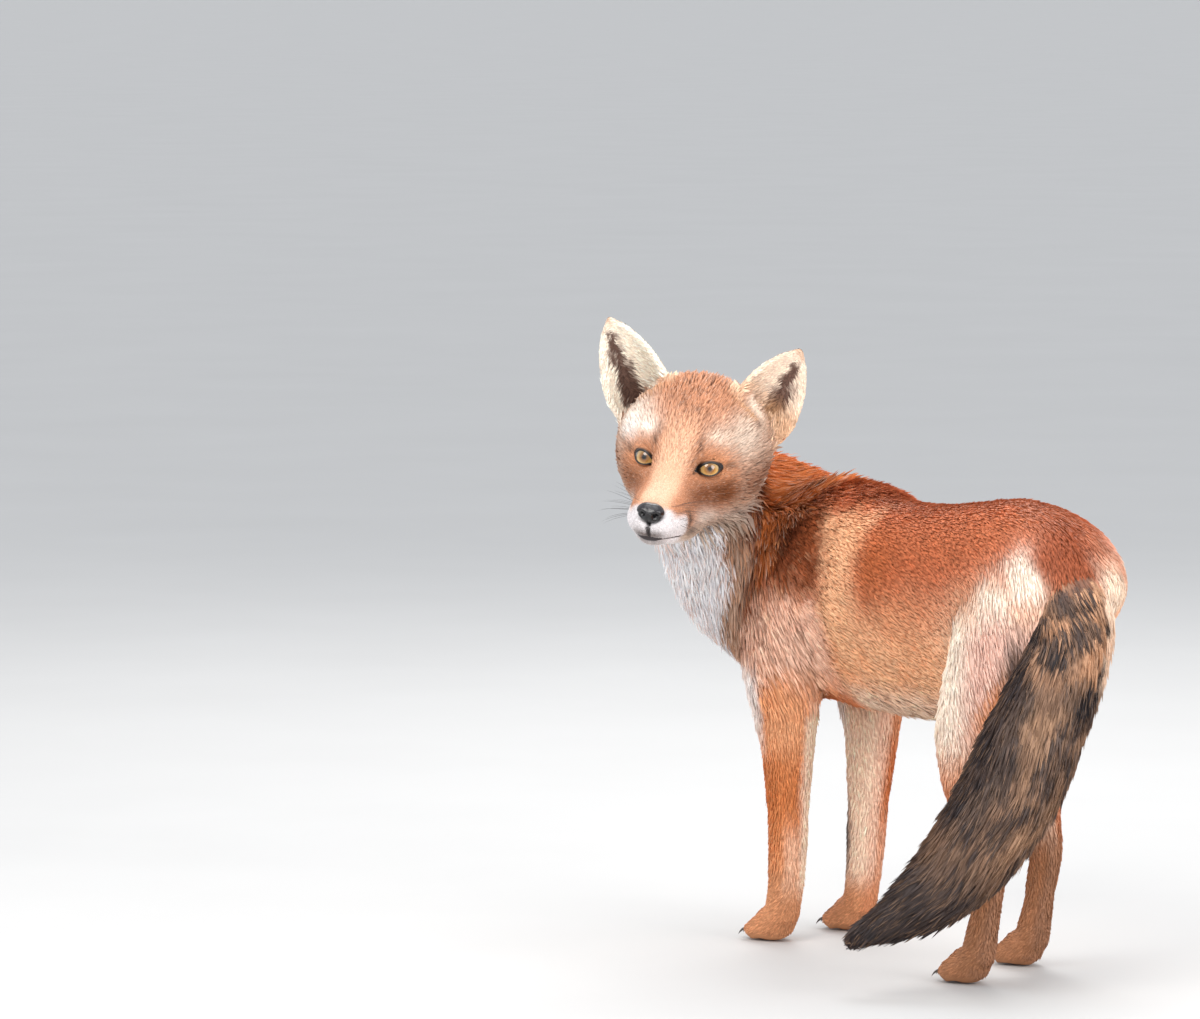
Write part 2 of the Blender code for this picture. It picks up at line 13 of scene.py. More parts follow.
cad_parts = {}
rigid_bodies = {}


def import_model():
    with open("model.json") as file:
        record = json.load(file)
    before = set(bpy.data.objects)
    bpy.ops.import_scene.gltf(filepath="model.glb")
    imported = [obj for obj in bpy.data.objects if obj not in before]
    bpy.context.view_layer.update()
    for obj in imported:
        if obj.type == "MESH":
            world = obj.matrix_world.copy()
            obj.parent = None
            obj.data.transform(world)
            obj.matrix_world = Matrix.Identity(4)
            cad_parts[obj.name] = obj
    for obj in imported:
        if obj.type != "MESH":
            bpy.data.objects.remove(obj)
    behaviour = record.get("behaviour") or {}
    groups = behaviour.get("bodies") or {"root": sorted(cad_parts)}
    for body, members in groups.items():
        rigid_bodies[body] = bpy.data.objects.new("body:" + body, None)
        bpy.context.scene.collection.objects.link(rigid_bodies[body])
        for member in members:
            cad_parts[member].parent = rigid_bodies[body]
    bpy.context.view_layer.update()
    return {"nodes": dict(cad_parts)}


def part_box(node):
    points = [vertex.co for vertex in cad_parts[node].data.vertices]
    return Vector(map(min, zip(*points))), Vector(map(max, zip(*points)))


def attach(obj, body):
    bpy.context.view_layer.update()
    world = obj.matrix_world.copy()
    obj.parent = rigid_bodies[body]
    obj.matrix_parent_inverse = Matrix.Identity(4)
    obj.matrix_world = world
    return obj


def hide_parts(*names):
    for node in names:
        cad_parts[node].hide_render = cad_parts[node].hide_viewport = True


for thing in list(bpy.data.objects):
    bpy.data.objects.remove(thing)
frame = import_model()
nodes = frame["nodes"]
dice = np.random.default_rng(11)
print("frame loaded:", len(nodes), "nodes")


# Numbers and small tools.
def unit(v):
    return v / np.maximum(np.linalg.norm(v, axis=-1, keepdims=True), 1e-12)


def ramp(x, low, high):  # 0 below low, 1 above high, smooth between
    t = np.clip((x - low) / (high - low), 0, 1)
    return t * t * (3 - 2 * t)


def mix(a, b, t):
    return a + (b - a) * np.asarray(t)[..., None]


def boxCentre(name):
    low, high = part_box(name)
    return np.array((low + high) / 2)


def readArray(source, key, width, kind=np.float32):
    out = np.zeros(len(source) * width, kind)
    source.foreach_get(key, out)
    return out.reshape(-1, width)


def corners(obj):
    return readArray(obj.data.vertices, "co", 3).astype(float)


def farthestCorner(name, start):  # the corner of a CAD node that lies farthest from a place
    spots = corners(nodes[name])
    return spots[np.argmax(np.linalg.norm(spots - start, axis=1))]


def flattened(v, normal):  # directions without their part along the normal
    return v - normal * np.sum(v * normal, axis=1, keepdims=True)


def blob(points, place, reach):  # 1 at a place, fading over this reach
    return np.exp(-np.sum(((points - np.array(place)) / np.array(reach)) ** 2, axis=1))


def shareAlong(points, a, b):  # 0 beside one end of a line, 1 beside the other
    return np.clip((points - a) @ (b - a) / ((b - a) @ (b - a)), 0, 1)


def nearPath(points, path):  # share of the length, distance and direction at the nearest place of a path
    share, best, way = np.zeros(len(points)), np.full(len(points), 1e9), np.zeros_like(points)
    start = 0
    for a, b in zip(path, path[1:]):
        reach = np.linalg.norm(b - a)
        t = shareAlong(points, a, b)
        distance = np.linalg.norm(points - a - t[:, None] * (b - a), axis=1)
        near = distance < best
        best[near] = distance[near]
        share[near] = (start + t * reach)[near]
        way[near] = (b - a) / reach
        start += reach
    return share / start, best, way


def latticeNoise(points, size, seed):  # smooth noise from -1 to 1, with features of this size in metres
    q = points / size + seed * 17.3
    base = np.floor(q).astype(np.int64)
    f = q - base
    f = f * f * (3 - 2 * f)
    total = np.zeros(len(q))
    for corner in range(8):
        step = np.array([corner & 1, corner >> 1 & 1, corner >> 2 & 1])
        c = base + step
        h = (c[:, 0] * 73856093) ^ (c[:, 1] * 19349663) ^ (c[:, 2] * 83492791) ^ (seed * 2654435)
        h = (h ^ (h >> 13)) * 1274126177 & 0x7FFFFFFF
        weight = np.prod(np.where(step == 1, f, 1 - f), axis=1)
        total += weight * (h % 10007 / 5003.5 - 1)
    return total


def newObject(name, data):
    obj = bpy.data.objects.new(name, data)
    bpy.context.scene.collection.objects.link(obj)
    return obj


def newPiece(name, vertices, faces=()):
    mesh = bpy.data.meshes.new(name)
    mesh.from_pydata([tuple(v) for v in vertices], [], [tuple(f) for f in faces])
    mesh.validate()
    return newObject(name, mesh)


def ringFaces(rows, around, first=0, closed=False):  # four-sided faces between rings of points
    faces = []
    for r in range(rows if closed else rows - 1):
        here, there = first + r * around, first + (r + 1) % rows * around
        for k in range(around):
            beside = (k + 1) % around
            faces.append((here + k, here + beside, there + beside, there + k))
    return faces


def outward(obj):  # closed mesh with its faces pointing out and shaded smooth
    bm = bmesh.new()
    bm.from_mesh(obj.data)
    bmesh.ops.recalc_face_normals(bm, faces=bm.faces)
    bm.to_mesh(obj.data)
    bm.free()
    obj.data.shade_smooth()
    return obj


def applied(obj):  # the object with its modifiers turned into plain mesh
    bpy.context.view_layer.update()
    graph = bpy.context.evaluated_depsgraph_get()
    mesh = bpy.data.meshes.new_from_object(obj.evaluated_get(graph))
    obj.modifiers.clear()
    obj.data = mesh
    return obj


def paint(obj, name, values, kind="FLOAT_COLOR"):  # a colour, direction or number on every vertex
    layer = obj.data.attributes.new(name, kind, "POINT")
    if kind == "FLOAT_COLOR":
        values = np.hstack([values, np.ones((len(values), 1))])
    key = {"FLOAT_COLOR": "color", "FLOAT_VECTOR": "vector", "FLOAT": "value"}[kind]
    layer.data.foreach_set(key, np.asarray(values, np.float32).ravel())


# Camera and light, and the floor's size and colours.
viewSettings = {
    "azimuth": 145.0, "elevation": 5.0, "lens": 200.0, "distance": 5.533,
    "aim": (0.1116, -0.1979, 0.3684),
    "floorSize": 260.0, "floorDark": (0.52, 0.515, 0.51), "floorLight": (0.56, 0.555, 0.55),
}


def directionAt(azimuth, elevation):
    a, e = math.radians(azimuth), math.radians(elevation)
    return Vector((math.sin(a) * math.cos(e), -math.cos(a) * math.cos(e), math.sin(e)))


def lookFrom(obj, place, target):
    obj.location = place
    obj.rotation_euler = (Vector(target) - Vector(place)).to_track_quat("-Z", "Y").to_euler()


def makeCamera():
    data = bpy.data.cameras.new("camera")
    camera = newObject("camera", data)
    data.lens = viewSettings["lens"]
    data.sensor_width = 36.0
    data.clip_start, data.clip_end = 0.05, 400.0
    back = directionAt(viewSettings["azimuth"], viewSettings["elevation"])
    aim = Vector(viewSettings["aim"])
    lookFrom(camera, aim + back * viewSettings["distance"], aim)
    bpy.context.scene.camera = camera


lampSettings = (  # name, azimuth, elevation, distance, size, power, colour
    ("keyLamp", 112, 38, 2.6, 1.6, 40, (1.0, 0.97, 0.93)),
    ("fillLamp", 188, 14, 2.8, 2.0, 52, (1.0, 0.99, 0.97)),
    ("backLamp", 320, 45, 2.6, 1.6, 30, (1.0, 0.98, 0.95)),
    ("topLamp", 160, 86, 2.2, 1.6, 14, (1.0, 1.0, 1.0)),
)
roomLight = {"colour": (0.93, 0.96, 1.0), "strength": 1.0}


def makeLights():
    middle = Vector((0.0, 0.0, 0.25))
    for name, azimuth, elevation, distance, size, power, colour in lampSettings:
        data = bpy.data.lights.new(name, "AREA")
        data.shape, data.size, data.energy, data.color = "DISK", size, power, colour
        lamp = newObject(name, data)
        lookFrom(lamp, middle + directionAt(azimuth, elevation) * distance, middle)
    world = bpy.data.worlds.new("softRoom")
    world.use_nodes = True
    background = world.node_tree.nodes["Background"]
    background.inputs["Color"].default_value = (*roomLight["colour"], 1.0)
    background.inputs["Strength"].default_value = roomLight["strength"]
    bpy.context.scene.world = world


makeCamera()
makeLights()
bpy.context.scene.view_settings.view_transform = "Standard"


# Node maths as Python expressions.
class Wire:
    def __init__(self, tree, socket):
        self.tree, self.socket = tree, socket

    def maths(self, operation, *values):
        node = self.tree.nodes.new("ShaderNodeMath")
        node.operation = operation
        for slot, value in zip(node.inputs, values):
            plug(self.tree, slot, value)
        return Wire(self.tree, node.outputs[0])

    def __add__(self, other): return self.maths("ADD", self, other)
    def __radd__(self, other): return self.maths("ADD", other, self)
    def __sub__(self, other): return self.maths("SUBTRACT", self, other)
    def __rsub__(self, other): return self.maths("SUBTRACT", other, self)
    def __mul__(self, other): return self.maths("MULTIPLY", self, other)
    def __truediv__(self, other): return self.maths("DIVIDE", self, other)
    def __pow__(self, other): return self.maths("POWER", self, other)


def plug(tree, slot, value):
    if isinstance(value, Wire):
        tree.links.new(value.socket, slot)
    elif value is not None:
        if hasattr(slot.default_value, "__len__") and len(slot.default_value) == 4 and len(value) == 3:
            value = (*value, 1.0)
        slot.default_value = value


def addNode(tree, kind, settings=None, output=0, **sockets):
    node = tree.nodes.new(kind)
    for key, value in (settings or {}).items():
        if key == "stops":
            while len(node.color_ramp.elements) < len(value):
                node.color_ramp.elements.new(0.5)
            for element, (place, colour) in zip(node.color_ramp.elements, value):
                element.position, element.color = place, (*colour, 1.0)
        else:
            setattr(node, key, value)
    for key, value in sockets.items():  # n3 stands for the fourth socket, other keys for a socket's name
        numbered = key[0] == "n" and key[1:].isdigit()
        plug(tree, node.inputs[int(key[1:]) if numbered else key], value)
    return Wire(tree, node.outputs[output])


def blendColours(tree, factor, a, b, mode="MIX"):
    return addNode(tree, "ShaderNodeMix", {"data_type": "RGBA", "blend_type": mode}, output=2,
                   n0=factor, n6=a, n7=b)


def dress(material, **sockets):  # numbers and wires for the Principled shader's own sockets
    tree = material.node_tree
    for key, value in sockets.items():
        plug(tree, tree.nodes["Principled BSDF"].inputs[key.replace("_", " ")], value)
    return material


def newMaterial(name, **uniform):
    material = bpy.data.materials.new(name)
    material.use_nodes = True
    dress(material, **uniform)
    return material, material.node_tree


def objectPoint(tree):
    return addNode(tree, "ShaderNodeTexCoord", output=3)


def noiseAt(tree, point, scale, detail=3.0, rough=0.55):
    return addNode(tree, "ShaderNodeTexNoise", Vector=point, Scale=scale, Detail=detail, Roughness=rough)


def relief(tree, height, depth, strength=0.5):  # fine bumps this many metres deep
    return addNode(tree, "ShaderNodeBump", Height=height, Distance=depth, Strength=strength)


def shadedTint(tree, shade, colour=None):  # the colour painted on the mesh, or the one given, times a shade
    colour = colour or addNode(tree, "ShaderNodeAttribute", {"attribute_name": "tint"})
    return blendColours(tree, 1.0, colour, shade, "MULTIPLY")


# The head's own axes: x to its left, y to the back, z up.
headFacts = {"noseDrop": 19.355, "eyeSetback": 0.00647, "eyeSink": 0.00066, "eyesApart": 0.0021}
eyeSides = (("left", 1), ("right", -1))
eyeCentre = {word: boxCentre("eye_" + word) for word, _ in eyeSides}
eyeRadius = float((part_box("eye_left")[1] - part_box("eye_left")[0])[2]) / 2
noseCentre = boxCentre("nose")


def headAxes():
    across = unit(eyeCentre["left"] - eyeCentre["right"])
    middle = (eyeCentre["left"] + eyeCentre["right"]) / 2
    toNose = noseCentre - middle
    toNose = unit(toNose - across * (toNose @ across))
    drop = math.radians(headFacts["noseDrop"])
    ahead = math.cos(drop) * toNose + math.sin(drop) * np.cross(toNose, across)
    up = np.cross(ahead, across)
    origin = middle - ahead * headFacts["eyeSetback"] + up * headFacts["eyeSink"]
    return np.array([across, -ahead, up]), origin


headTurn, headOrigin = headAxes()
for word, side in eyeSides:
    eyeCentre[word] = eyeCentre[word] + side * headFacts["eyesApart"] * headTurn[0]


def toHead(points):
    return (points - headOrigin) @ headTurn.T


def fromHead(points):
    return np.asarray(points) @ headTurn + headOrigin


print("head axes found")

# How long the hair is, how far it stands up, and which way it lies.
coatTable = {  # by the start of a part's name: hair length, lift of the root half, lift of the tip half
    "head": (0.0095, 18, 6), "muzzle": (0.0042, 18, 5), "lower_jaw": (0.0055, 18, 6), "ear": (0.0034, 14, 4),
    "nose": (0.0040, 18, 5), "eye": (0.0040, 16, 5), "neck": (0.0220, 22, 7), "chest": (0.0160, 20, 6),
    "loin": (0.0110, 15, 4), "rump": (0.0110, 15, 4), "shoulder": (0.0150, 19, 6), "forearm": (0.0085, 16, 4),
    "paw": (0.0050, 16, 4), "thigh": (0.0115, 16, 5), "shank": (0.0090, 16, 4), "shin": (0.0065, 16, 4),
    "tail_base": (0.0220, 20, 6), "tail_middle": (0.0270, 22, 8), "tail_end": (0.0260, 22, 8),
    "tail_tip": (0.0230, 20, 7),
}
groups = {"head": ("head", "muzzle", "lower_jaw", "nose", "eye"), "ear": ("ear",), "neck": ("neck",),
          "trunk": ("chest", "loin", "rump"), "fore": ("fore",), "hind": ("hind",), "tail": ("tail",)}
nodeNames = sorted(nodes)
groupNames = list(groups)
groupOfNode = np.array([next(i for i, g in enumerate(groupNames) if name.startswith(groups[g]))
                        for name in nodeNames])


def coatRow(name):
    part = name.rsplit("_", 1)[-1] if name.startswith(("fore", "hind")) else name
    return next(row for start, row in coatTable.items() if part.startswith(start))


def nodeTree():  # a search tree over the CAD nodes' faces, and the node that each of its points is on
    places, owners = [], []
    for index, name in enumerate(nodeNames):
        mesh = nodes[name].data
        spots = corners(nodes[name])
        faces = np.array([p.vertices[:] for p in mesh.polygons])
        inner = [spots[faces].mean(axis=1)]
        for share in ((0.6, 0.2, 0.2), (0.2, 0.6, 0.2), (0.2, 0.2, 0.6)):
            inner.append(np.einsum("fck,c->fk", spots[faces], np.array(share)))
        some = np.vstack(inner)
        places.append(some)
        owners.append(np.full(len(some), index))
    places, owners = np.vstack(places), np.concatenate(owners)
    tree = KDTree(len(places))
    for k, place in enumerate(places):
        tree.insert(place, k)
    tree.balance()
    return tree, owners


tailEnd = farthestCorner("tail_tip", boxCentre("tail_middle"))
tailPath = [boxCentre(n) for n in ("rump", "tail_base", "tail_middle", "tail_end", "tail_tip")] + [tailEnd]
tailPath[0] = tailPath[1] + np.array((0.0, -0.05, 0.06))
legPaths = {}
for start, names in (("fore", ("shoulder", "forearm", "paw")), ("hind", ("thigh", "shank", "shin", "paw"))):
    for word in ("left", "right"):
        legPaths[f"{start}_{word}"] = [boxCentre(f"{start}_{word}_{n}") for n in names]
earBase = {word: np.array(fromHead((side * 0.049, 0.055, 0.029))) for word, side in eyeSides}
earTip = {word: farthestCorner("ear_" + word, earBase[word]) for word, _ in eyeSides}
skullCentre = fromHead((0.0, 0.05, 0.0))


def lieOf(name, p):
    if name.startswith("ear"):
        base, tip = earBase[name[4:]], earTip[name[4:]]
        return unit(p - base + 0.6 * (tip - base))
    if name.startswith(("head", "muzzle", "lower_jaw", "nose", "eye")):
        return unit(unit(p - fromHead((0, -0.11, -0.030))) + 0.25 * headTurn[1])
    if name.startswith("neck"):
        return unit(unit(p - skullCentre) + np.array((0, 0.15, -0.55)))
    if name.startswith("tail"):
        return nearPath(p, tailPath)[2]
    if name.endswith("paw"):
        return unit(np.array((0, -1.0, -0.6)) + 0 * p)
    if name.startswith(("fore", "hind")):
        down = nearPath(p, legPaths[name.rsplit("_", 1)[0]])[2]
        top = name.endswith(("shoulder", "thigh"))
        return unit(down + np.array((0, 0.75 if top else 0.12, -0.1)))
    k = ramp(p[:, 1], 0.13, 0.22)[:, None]
    return unit(np.array((0, 1.0, -0.32)) * (1 - k) + np.array((0, 0.35, -1.0)) * k)


# The skin.
skinSettings = {"voxel": 0.0021, "swell": 0.00045, "triangles": 188000, "rounds": 34, "fieldRounds": 14,
                "insetShare": 0.18, "earInset": 0.0007, "napeInset": 0.0060}
softShares = {"head": 0.30, "ear": 0.10, "fore": 0.55, "hind": 0.55, "paw": 0.14}  # of the smoothing; else 1


def joinedFlesh():
    whole = bmesh.new()
    for name in nodeNames:
        if name == "nose":
            continue
        piece = bmesh.new()
        piece.from_mesh(nodes[name].data)
        bmesh.ops.remove_doubles(piece, verts=piece.verts, dist=1e-6)
        piece.normal_update()
        for v in piece.verts:
            v.co += v.normal * skinSettings["swell"]
        mesh = bpy.data.meshes.new(name)
        piece.to_mesh(mesh)
        piece.free()
        whole.from_mesh(mesh)
        bpy.data.meshes.remove(mesh)
    mesh = bpy.data.meshes.new("skin")
    whole.to_mesh(mesh)
    whole.free()
    skin = newObject("skin", mesh)
    remesh = skin.modifiers.new("fuse", "REMESH")
    remesh.mode = "VOXEL"
    remesh.voxel_size = skinSettings["voxel"]
    return applied(skin)


def largestShell(obj):  # drops the stray bits that fusing leaves inside
    bm = bmesh.new()
    bm.from_mesh(obj.data)
    left, shells = set(bm.verts), []
    while left:
        front = [left.pop()]
        shell = list(front)
        while front:
            fresh = [e.other_vert(v) for v in front for e in v.link_edges]
            front = [v for v in set(fresh) if v in left]
            left.difference_update(front)
            shell += front
        shells.append(shell)
    shells.sort(key=len)
    bmesh.ops.delete(bm, geom=[v for shell in shells[:-1] for v in shell], context="VERTS")
    bmesh.ops.triangulate(bm, faces=bm.faces)
    bm.to_mesh(obj.data)
    bm.free()


def nearestNode(points):
    return np.array([owners[finder.find(p)[1]] for p in points])


finder, owners = nodeTree()
skin = joinedFlesh()
largestShell(skin)
plainGroups = [i for i, g in enumerate(groupNames) if g not in ("head", "ear")]
thinHere = np.isin(groupOfNode[nearestNode(corners(skin))], plainGroups)
thinGroup = skin.vertex_groups.new(name="thin")
thinGroup.add(np.flatnonzero(thinHere).tolist(), 1.0, "REPLACE")
decimate = skin.modifiers.new("thin", "DECIMATE")
decimate.vertex_group = "thin"
decimate.ratio = skinSettings["triangles"] / len(skin.data.polygons)
applied(skin)
skin.vertex_groups.clear()
skinPoints = corners(skin)
edges = readArray(skin.data.edges, "vertices", 2, np.int32)
count = len(skinPoints)
degree = np.maximum(np.bincount(edges.ravel(), minlength=count), 1)
print("skin fused:", count, "corners,", len(skin.data.polygons), "faces")


def spread(values, rounds, weight=1.0):  # averages values with those of the neighbours
    values = np.array(values, float)
    flat = values.reshape(count, -1)
    weight = np.broadcast_to(np.asarray(weight, float), (count,))[:, None]
    for _ in range(rounds):
        total = np.stack([np.bincount(edges[:, 0], flat[edges[:, 1], k], count)
                          + np.bincount(edges[:, 1], flat[edges[:, 0], k], count)
                          for k in range(flat.shape[1])], axis=1)
        flat = flat + weight * 0.5 * (total / degree[:, None] - flat)
    return flat.reshape(values.shape)


def setPoints(points):
    skin.data.vertices.foreach_set("co", points.astype(np.float32).ravel())
    skin.data.update()


def skinNormals():
    return readArray(skin.data.vertex_normals, "vector", 3).astype(float)


owner = nearestNode(skinPoints)
group = groupOfNode[owner]
isGroup = {g: group == i for i, g in enumerate(groupNames)}
softness = np.ones(count)
for name in ("head", "ear", "fore", "hind"):
    softness[isGroup[name]] = softShares[name]
softness[np.array([nodeNames[o].endswith("paw") for o in owner])] = softShares["paw"]
softness = spread(softness, 8)
skinPoints = spread(skinPoints, skinSettings["rounds"], softness)
setPoints(skinPoints)
rawNormals = skinNormals()
print("skin smoothed")

headPoints = toHead(skinPoints)


def fieldsOnSkin():
    rows = np.array([coatRow(name) for name in nodeNames])
    length, liftRoot, liftTip = rows[owner].T
    lie = np.zeros((count, 3))
    for index, name in enumerate(nodeNames):
        mine = owner == index
        if mine.any():
            lie[mine] = lieOf(name, skinPoints[mine])
    _, y, z = headPoints.T
    inHead = isGroup["head"]
    cheek = ramp(y, 0.0, 0.05) * ramp(-z, -0.02, 0.02) * inHead
    crown = ramp(y, 0.0, 0.04) * ramp(z, 0.0, 0.03) * inHead
    face = (1 - ramp(y, -0.045, 0.02)) * inHead
    length = length * (1 - 0.52 * face) + 0.0070 * cheek - 0.0010 * crown
    throat = isGroup["neck"] & (skinPoints[:, 2] < 0.36)
    length = length + 0.003 * throat
    return length, liftRoot, liftTip, lie


length, liftRoot, liftTip, lie = fieldsOnSkin()
length = spread(length, 10)
liftRoot, liftTip = spread(np.stack([liftRoot, liftTip], 1), 10).T
smoothNormal = unit(spread(rawNormals, 6))
lie = spread(unit(flattened(lie, smoothNormal)), skinSettings["fieldRounds"])
inset = skinSettings["insetShare"] * length + skinSettings["swell"]
inset[isGroup["ear"]] = skinSettings["earInset"]
onTail = isGroup["tail"]
inset[onTail] *= 1.5 - 1.4 * ramp(smoothNormal[onTail] @ np.array((0.82, -0.57, 0.0)), 0.1, 0.8)
inset += skinSettings["napeInset"] * blob(skinPoints, (-0.050, -0.150, 0.395), (0.075, 0.075, 0.030))
inset = spread(inset, 6)
skinPoints = skinPoints - smoothNormal * inset[:, None]
setPoints(skinPoints)
print("fields laid")

# Eyes: where they look, and how the skin closes round them.
eyeSettings = {"turn": 21.0, "slant": 11.0, "halfWidth": 0.0086, "top": 0.0051, "bottom": 0.0050,
               "lidReach": 0.0075, "press": 0.0014}


def eyeAxes(side):  # outward, up and front axes of an eye, in the row's frame
    turn, slant = math.radians(eyeSettings["turn"]), math.radians(eyeSettings["slant"])
    front = unit(np.array((side * math.sin(turn), -math.cos(turn), 0.06)))
    up = unit(np.array((0, 0, 1.0)) - front * front[2])
    out = side * np.cross(up, front)
    a = math.cos(slant) * out + math.sin(slant) * up
    b = math.cos(slant) * up - math.sin(slant) * out
    return np.array([a, b, front]) @ headTurn


eyeTurn = {word: eyeAxes(side) for word, side in eyeSides}


def almond(angle):  # the rim of the eye's opening round its middle; 0 is the outer corner
    c, s = np.cos(angle), np.sin(angle)
    tall = np.where(s > 0, eyeSettings["top"], eyeSettings["bottom"])
    wide = eyeSettings["halfWidth"] * c
    high = tall * np.sign(s) * np.abs(s) ** 1.12 * (1 - 0.20 * c**4)
    inner = np.exp(-((np.abs(angle) - math.pi) / 0.33) ** 2)
    return np.stack([wide - 0.0026 * inner, high - 0.0012 * inner], axis=-1)


rimAngles = np.linspace(-math.pi, math.pi, 721)
rimPoints = almond(rimAngles)
rimTurns = np.unwrap(np.arctan2(rimPoints[:, 1], rimPoints[:, 0]))
rimReach = np.linalg.norm(rimPoints, axis=1)


def pastRim(flat):  # how far outside the opening a point of the eye's plane is
    turns = np.arctan2(flat[:, 1], flat[:, 0])
    order = np.argsort(rimTurns)
    reach = np.interp(turns, rimTurns[order], rimReach[order], period=2 * math.pi)
    return np.linalg.norm(flat, axis=1) - reach


def ballHeight(flat):
    low = 0.42 * eyeRadius  # flat past this, so that it never falls away behind the eye
    return np.sqrt(np.maximum(eyeRadius**2 - np.sum(flat**2, axis=1), low**2))


def closedRound(points, word):  # the skin drawn down onto the eyeball, with its opening left free
    local = (points - eyeCentre[word]) @ eyeTurn[word].T
    flat, height = local[:, :2], local[:, 2].copy()
    near = (height > 0) & (np.linalg.norm(flat, axis=1) < 0.018)
    past = pastRim(flat)
    k = ramp(past, 0.0012, eyeSettings["lidReach"])
    drawn = (ballHeight(flat) - eyeSettings["press"]) * (1 - k) + height * k
    local[:, 2] = np.where(near, drawn, height)
    return local @ eyeTurn[word] + eyeCentre[word], np.where(near, past, 1.0)


eyeGap = np.full(count, 1.0)
for word, _ in eyeSides:
    skinPoints, gap = closedRound(skinPoints, word)
    eyeGap = np.minimum(eyeGap, gap)


# Forms of the face, as soft pushes along the skin's normal.
faceForms = (  # place on the left half in head axes, reach, height
    ((0.021, -0.067, -0.040), (0.010, 0.013, 0.008), 0.0016),  # whisker pad
    ((0.000, -0.094, -0.040), (0.0014, 0.012, 0.006), -0.0016),  # groove under the nose
    ((0.000, -0.012, 0.006), (0.008, 0.016, 0.010), -0.0010),  # hollow between the eyes
    ((0.024, -0.004, 0.016), (0.012, 0.010, 0.006), 0.0020),  # brow
    ((0.036, 0.004, -0.016), (0.012, 0.014, 0.008), 0.0012),  # cheekbone
    ((0.016, -0.040, -0.022), (0.008, 0.018, 0.008), -0.0008),  # side of the muzzle
    ((0.000, -0.078, -0.064), (0.018, 0.022, 0.010), 0.0052),  # chin
    ((0.012, -0.086, -0.044), (0.010, 0.012, 0.006), 0.0010),  # front of the upper lip
    ((0.026, -0.026, -0.056), (0.020, 0.030, 0.016), 0.0065),  # jaw
)
earFold = np.array((  # front rim of the left ear, from its top down to its root
    (0.030, 0.062, 0.060), (0.0255, 0.048, 0.0555), (0.0280, 0.038, 0.0510),
    (0.0360, 0.034, 0.0455), (0.0450, 0.036, 0.0390), (0.0520, 0.044, 0.0310)))


def foldNear(side):  # closeness to the ear's front fold and to the hollow behind it
    share, away, _ = nearPath(side, earFold)
    fold = np.exp(-(away / 0.0036) ** 2) * (1 - ramp(share, 0.75, 1.0))
    hollow = blob(side, (0.045, 0.060, 0.045), (0.011, 0.013, 0.012))
    return fold, hollow * (1 - fold)


def shapeFace(points, normals):
    local = toHead(points)
    fold, hollow = foldNear(np.abs(local) * (1, 0, 0) + local * (0, 1, 1))
    push = 0.0034 * fold - 0.0022 * hollow
    for (x, y, z), reach, height in faceForms:
        for side in (1, -1):
            push += height * blob(local, (side * x, y, z), reach) * (1 if x else 0.5)
    return points + normals * push[:, None]


mouth = {"line": -0.0520, "rise": 0.0085, "rear": -0.036, "front": -0.070, "radius": 0.0009,
         "frontRadius": 0.0030, "depth": 0.0011, "crease": 0.0022,
         "dark": (0.012, 0.009, 0.010), "light": (0.040, 0.026, 0.030)}


def mouthHeight(y):  # height of the mouth's line; it rises at the corner
    return mouth["line"] + mouth["rise"] * ramp(y, -0.052, mouth["rear"])


def offMouth(local):  # distance from the line between the lips
    back = np.maximum(local[:, 1] - mouth["rear"], 0)
    return np.hypot(local[:, 2] - mouthHeight(local[:, 1]), back)


toeSettings = {"span": 0.0090, "groove": 0.0019, "depth": 0.0018, "reach": 0.036, "top": 0.03, "shade": 0.60}


def toeGap(points):  # 1 in the grooves between the toes of any paw
    out = np.zeros(len(points))
    for name in nodeNames:
        if name.endswith("paw"):
            low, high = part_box(name)
            off = (points[:, 0] - (low[0] + high[0]) / 2) / toeSettings["span"]
            lane = np.clip(np.round(off), -1, 1)
            near = np.exp(-((off - lane) * toeSettings["span"] / toeSettings["groove"]) ** 2)
            back = points[:, 1] - low[1]
            near = near * (1 - ramp(back, 0.6 * toeSettings["reach"], toeSettings["reach"]))
            near = near * (np.abs(off) < 2.2) * (back > -0.01) * (points[:, 2] < toeSettings["top"])
            out = np.maximum(out, near)
    return out


skinPoints = shapeFace(skinPoints, smoothNormal * isGroup["head"][:, None])
skinPoints = skinPoints - smoothNormal * (toeSettings["depth"] * toeGap(skinPoints))[:, None]
closing = np.exp(-(offMouth(toHead(skinPoints)) / mouth["crease"]) ** 2) * isGroup["head"]
skinPoints = skinPoints - smoothNormal * (mouth["depth"] * closing)[:, None]
setPoints(skinPoints)
normals = skinNormals()
coatNormal = unit(spread(normals, 3))
lie = unit(flattened(lie, coatNormal))
headPoints = toHead(skinPoints)
earHollow = {"left": ((0.0585, 0.086, 0.043), (0.0640, 0.093, 0.075)),
             "right": ((-0.0620, 0.078, 0.030), (-0.0850, 0.066, 0.080))}


def earOpening(side):  # the way an ear's hollow faces
    return unit(np.array((0.30 * side, -1.0, 0.10))) @ headTurn


def earFacing(side, normals, edge):  # 1 where the ear's skin faces that way
    return ramp(normals @ earOpening(side), edge, edge + 0.30)


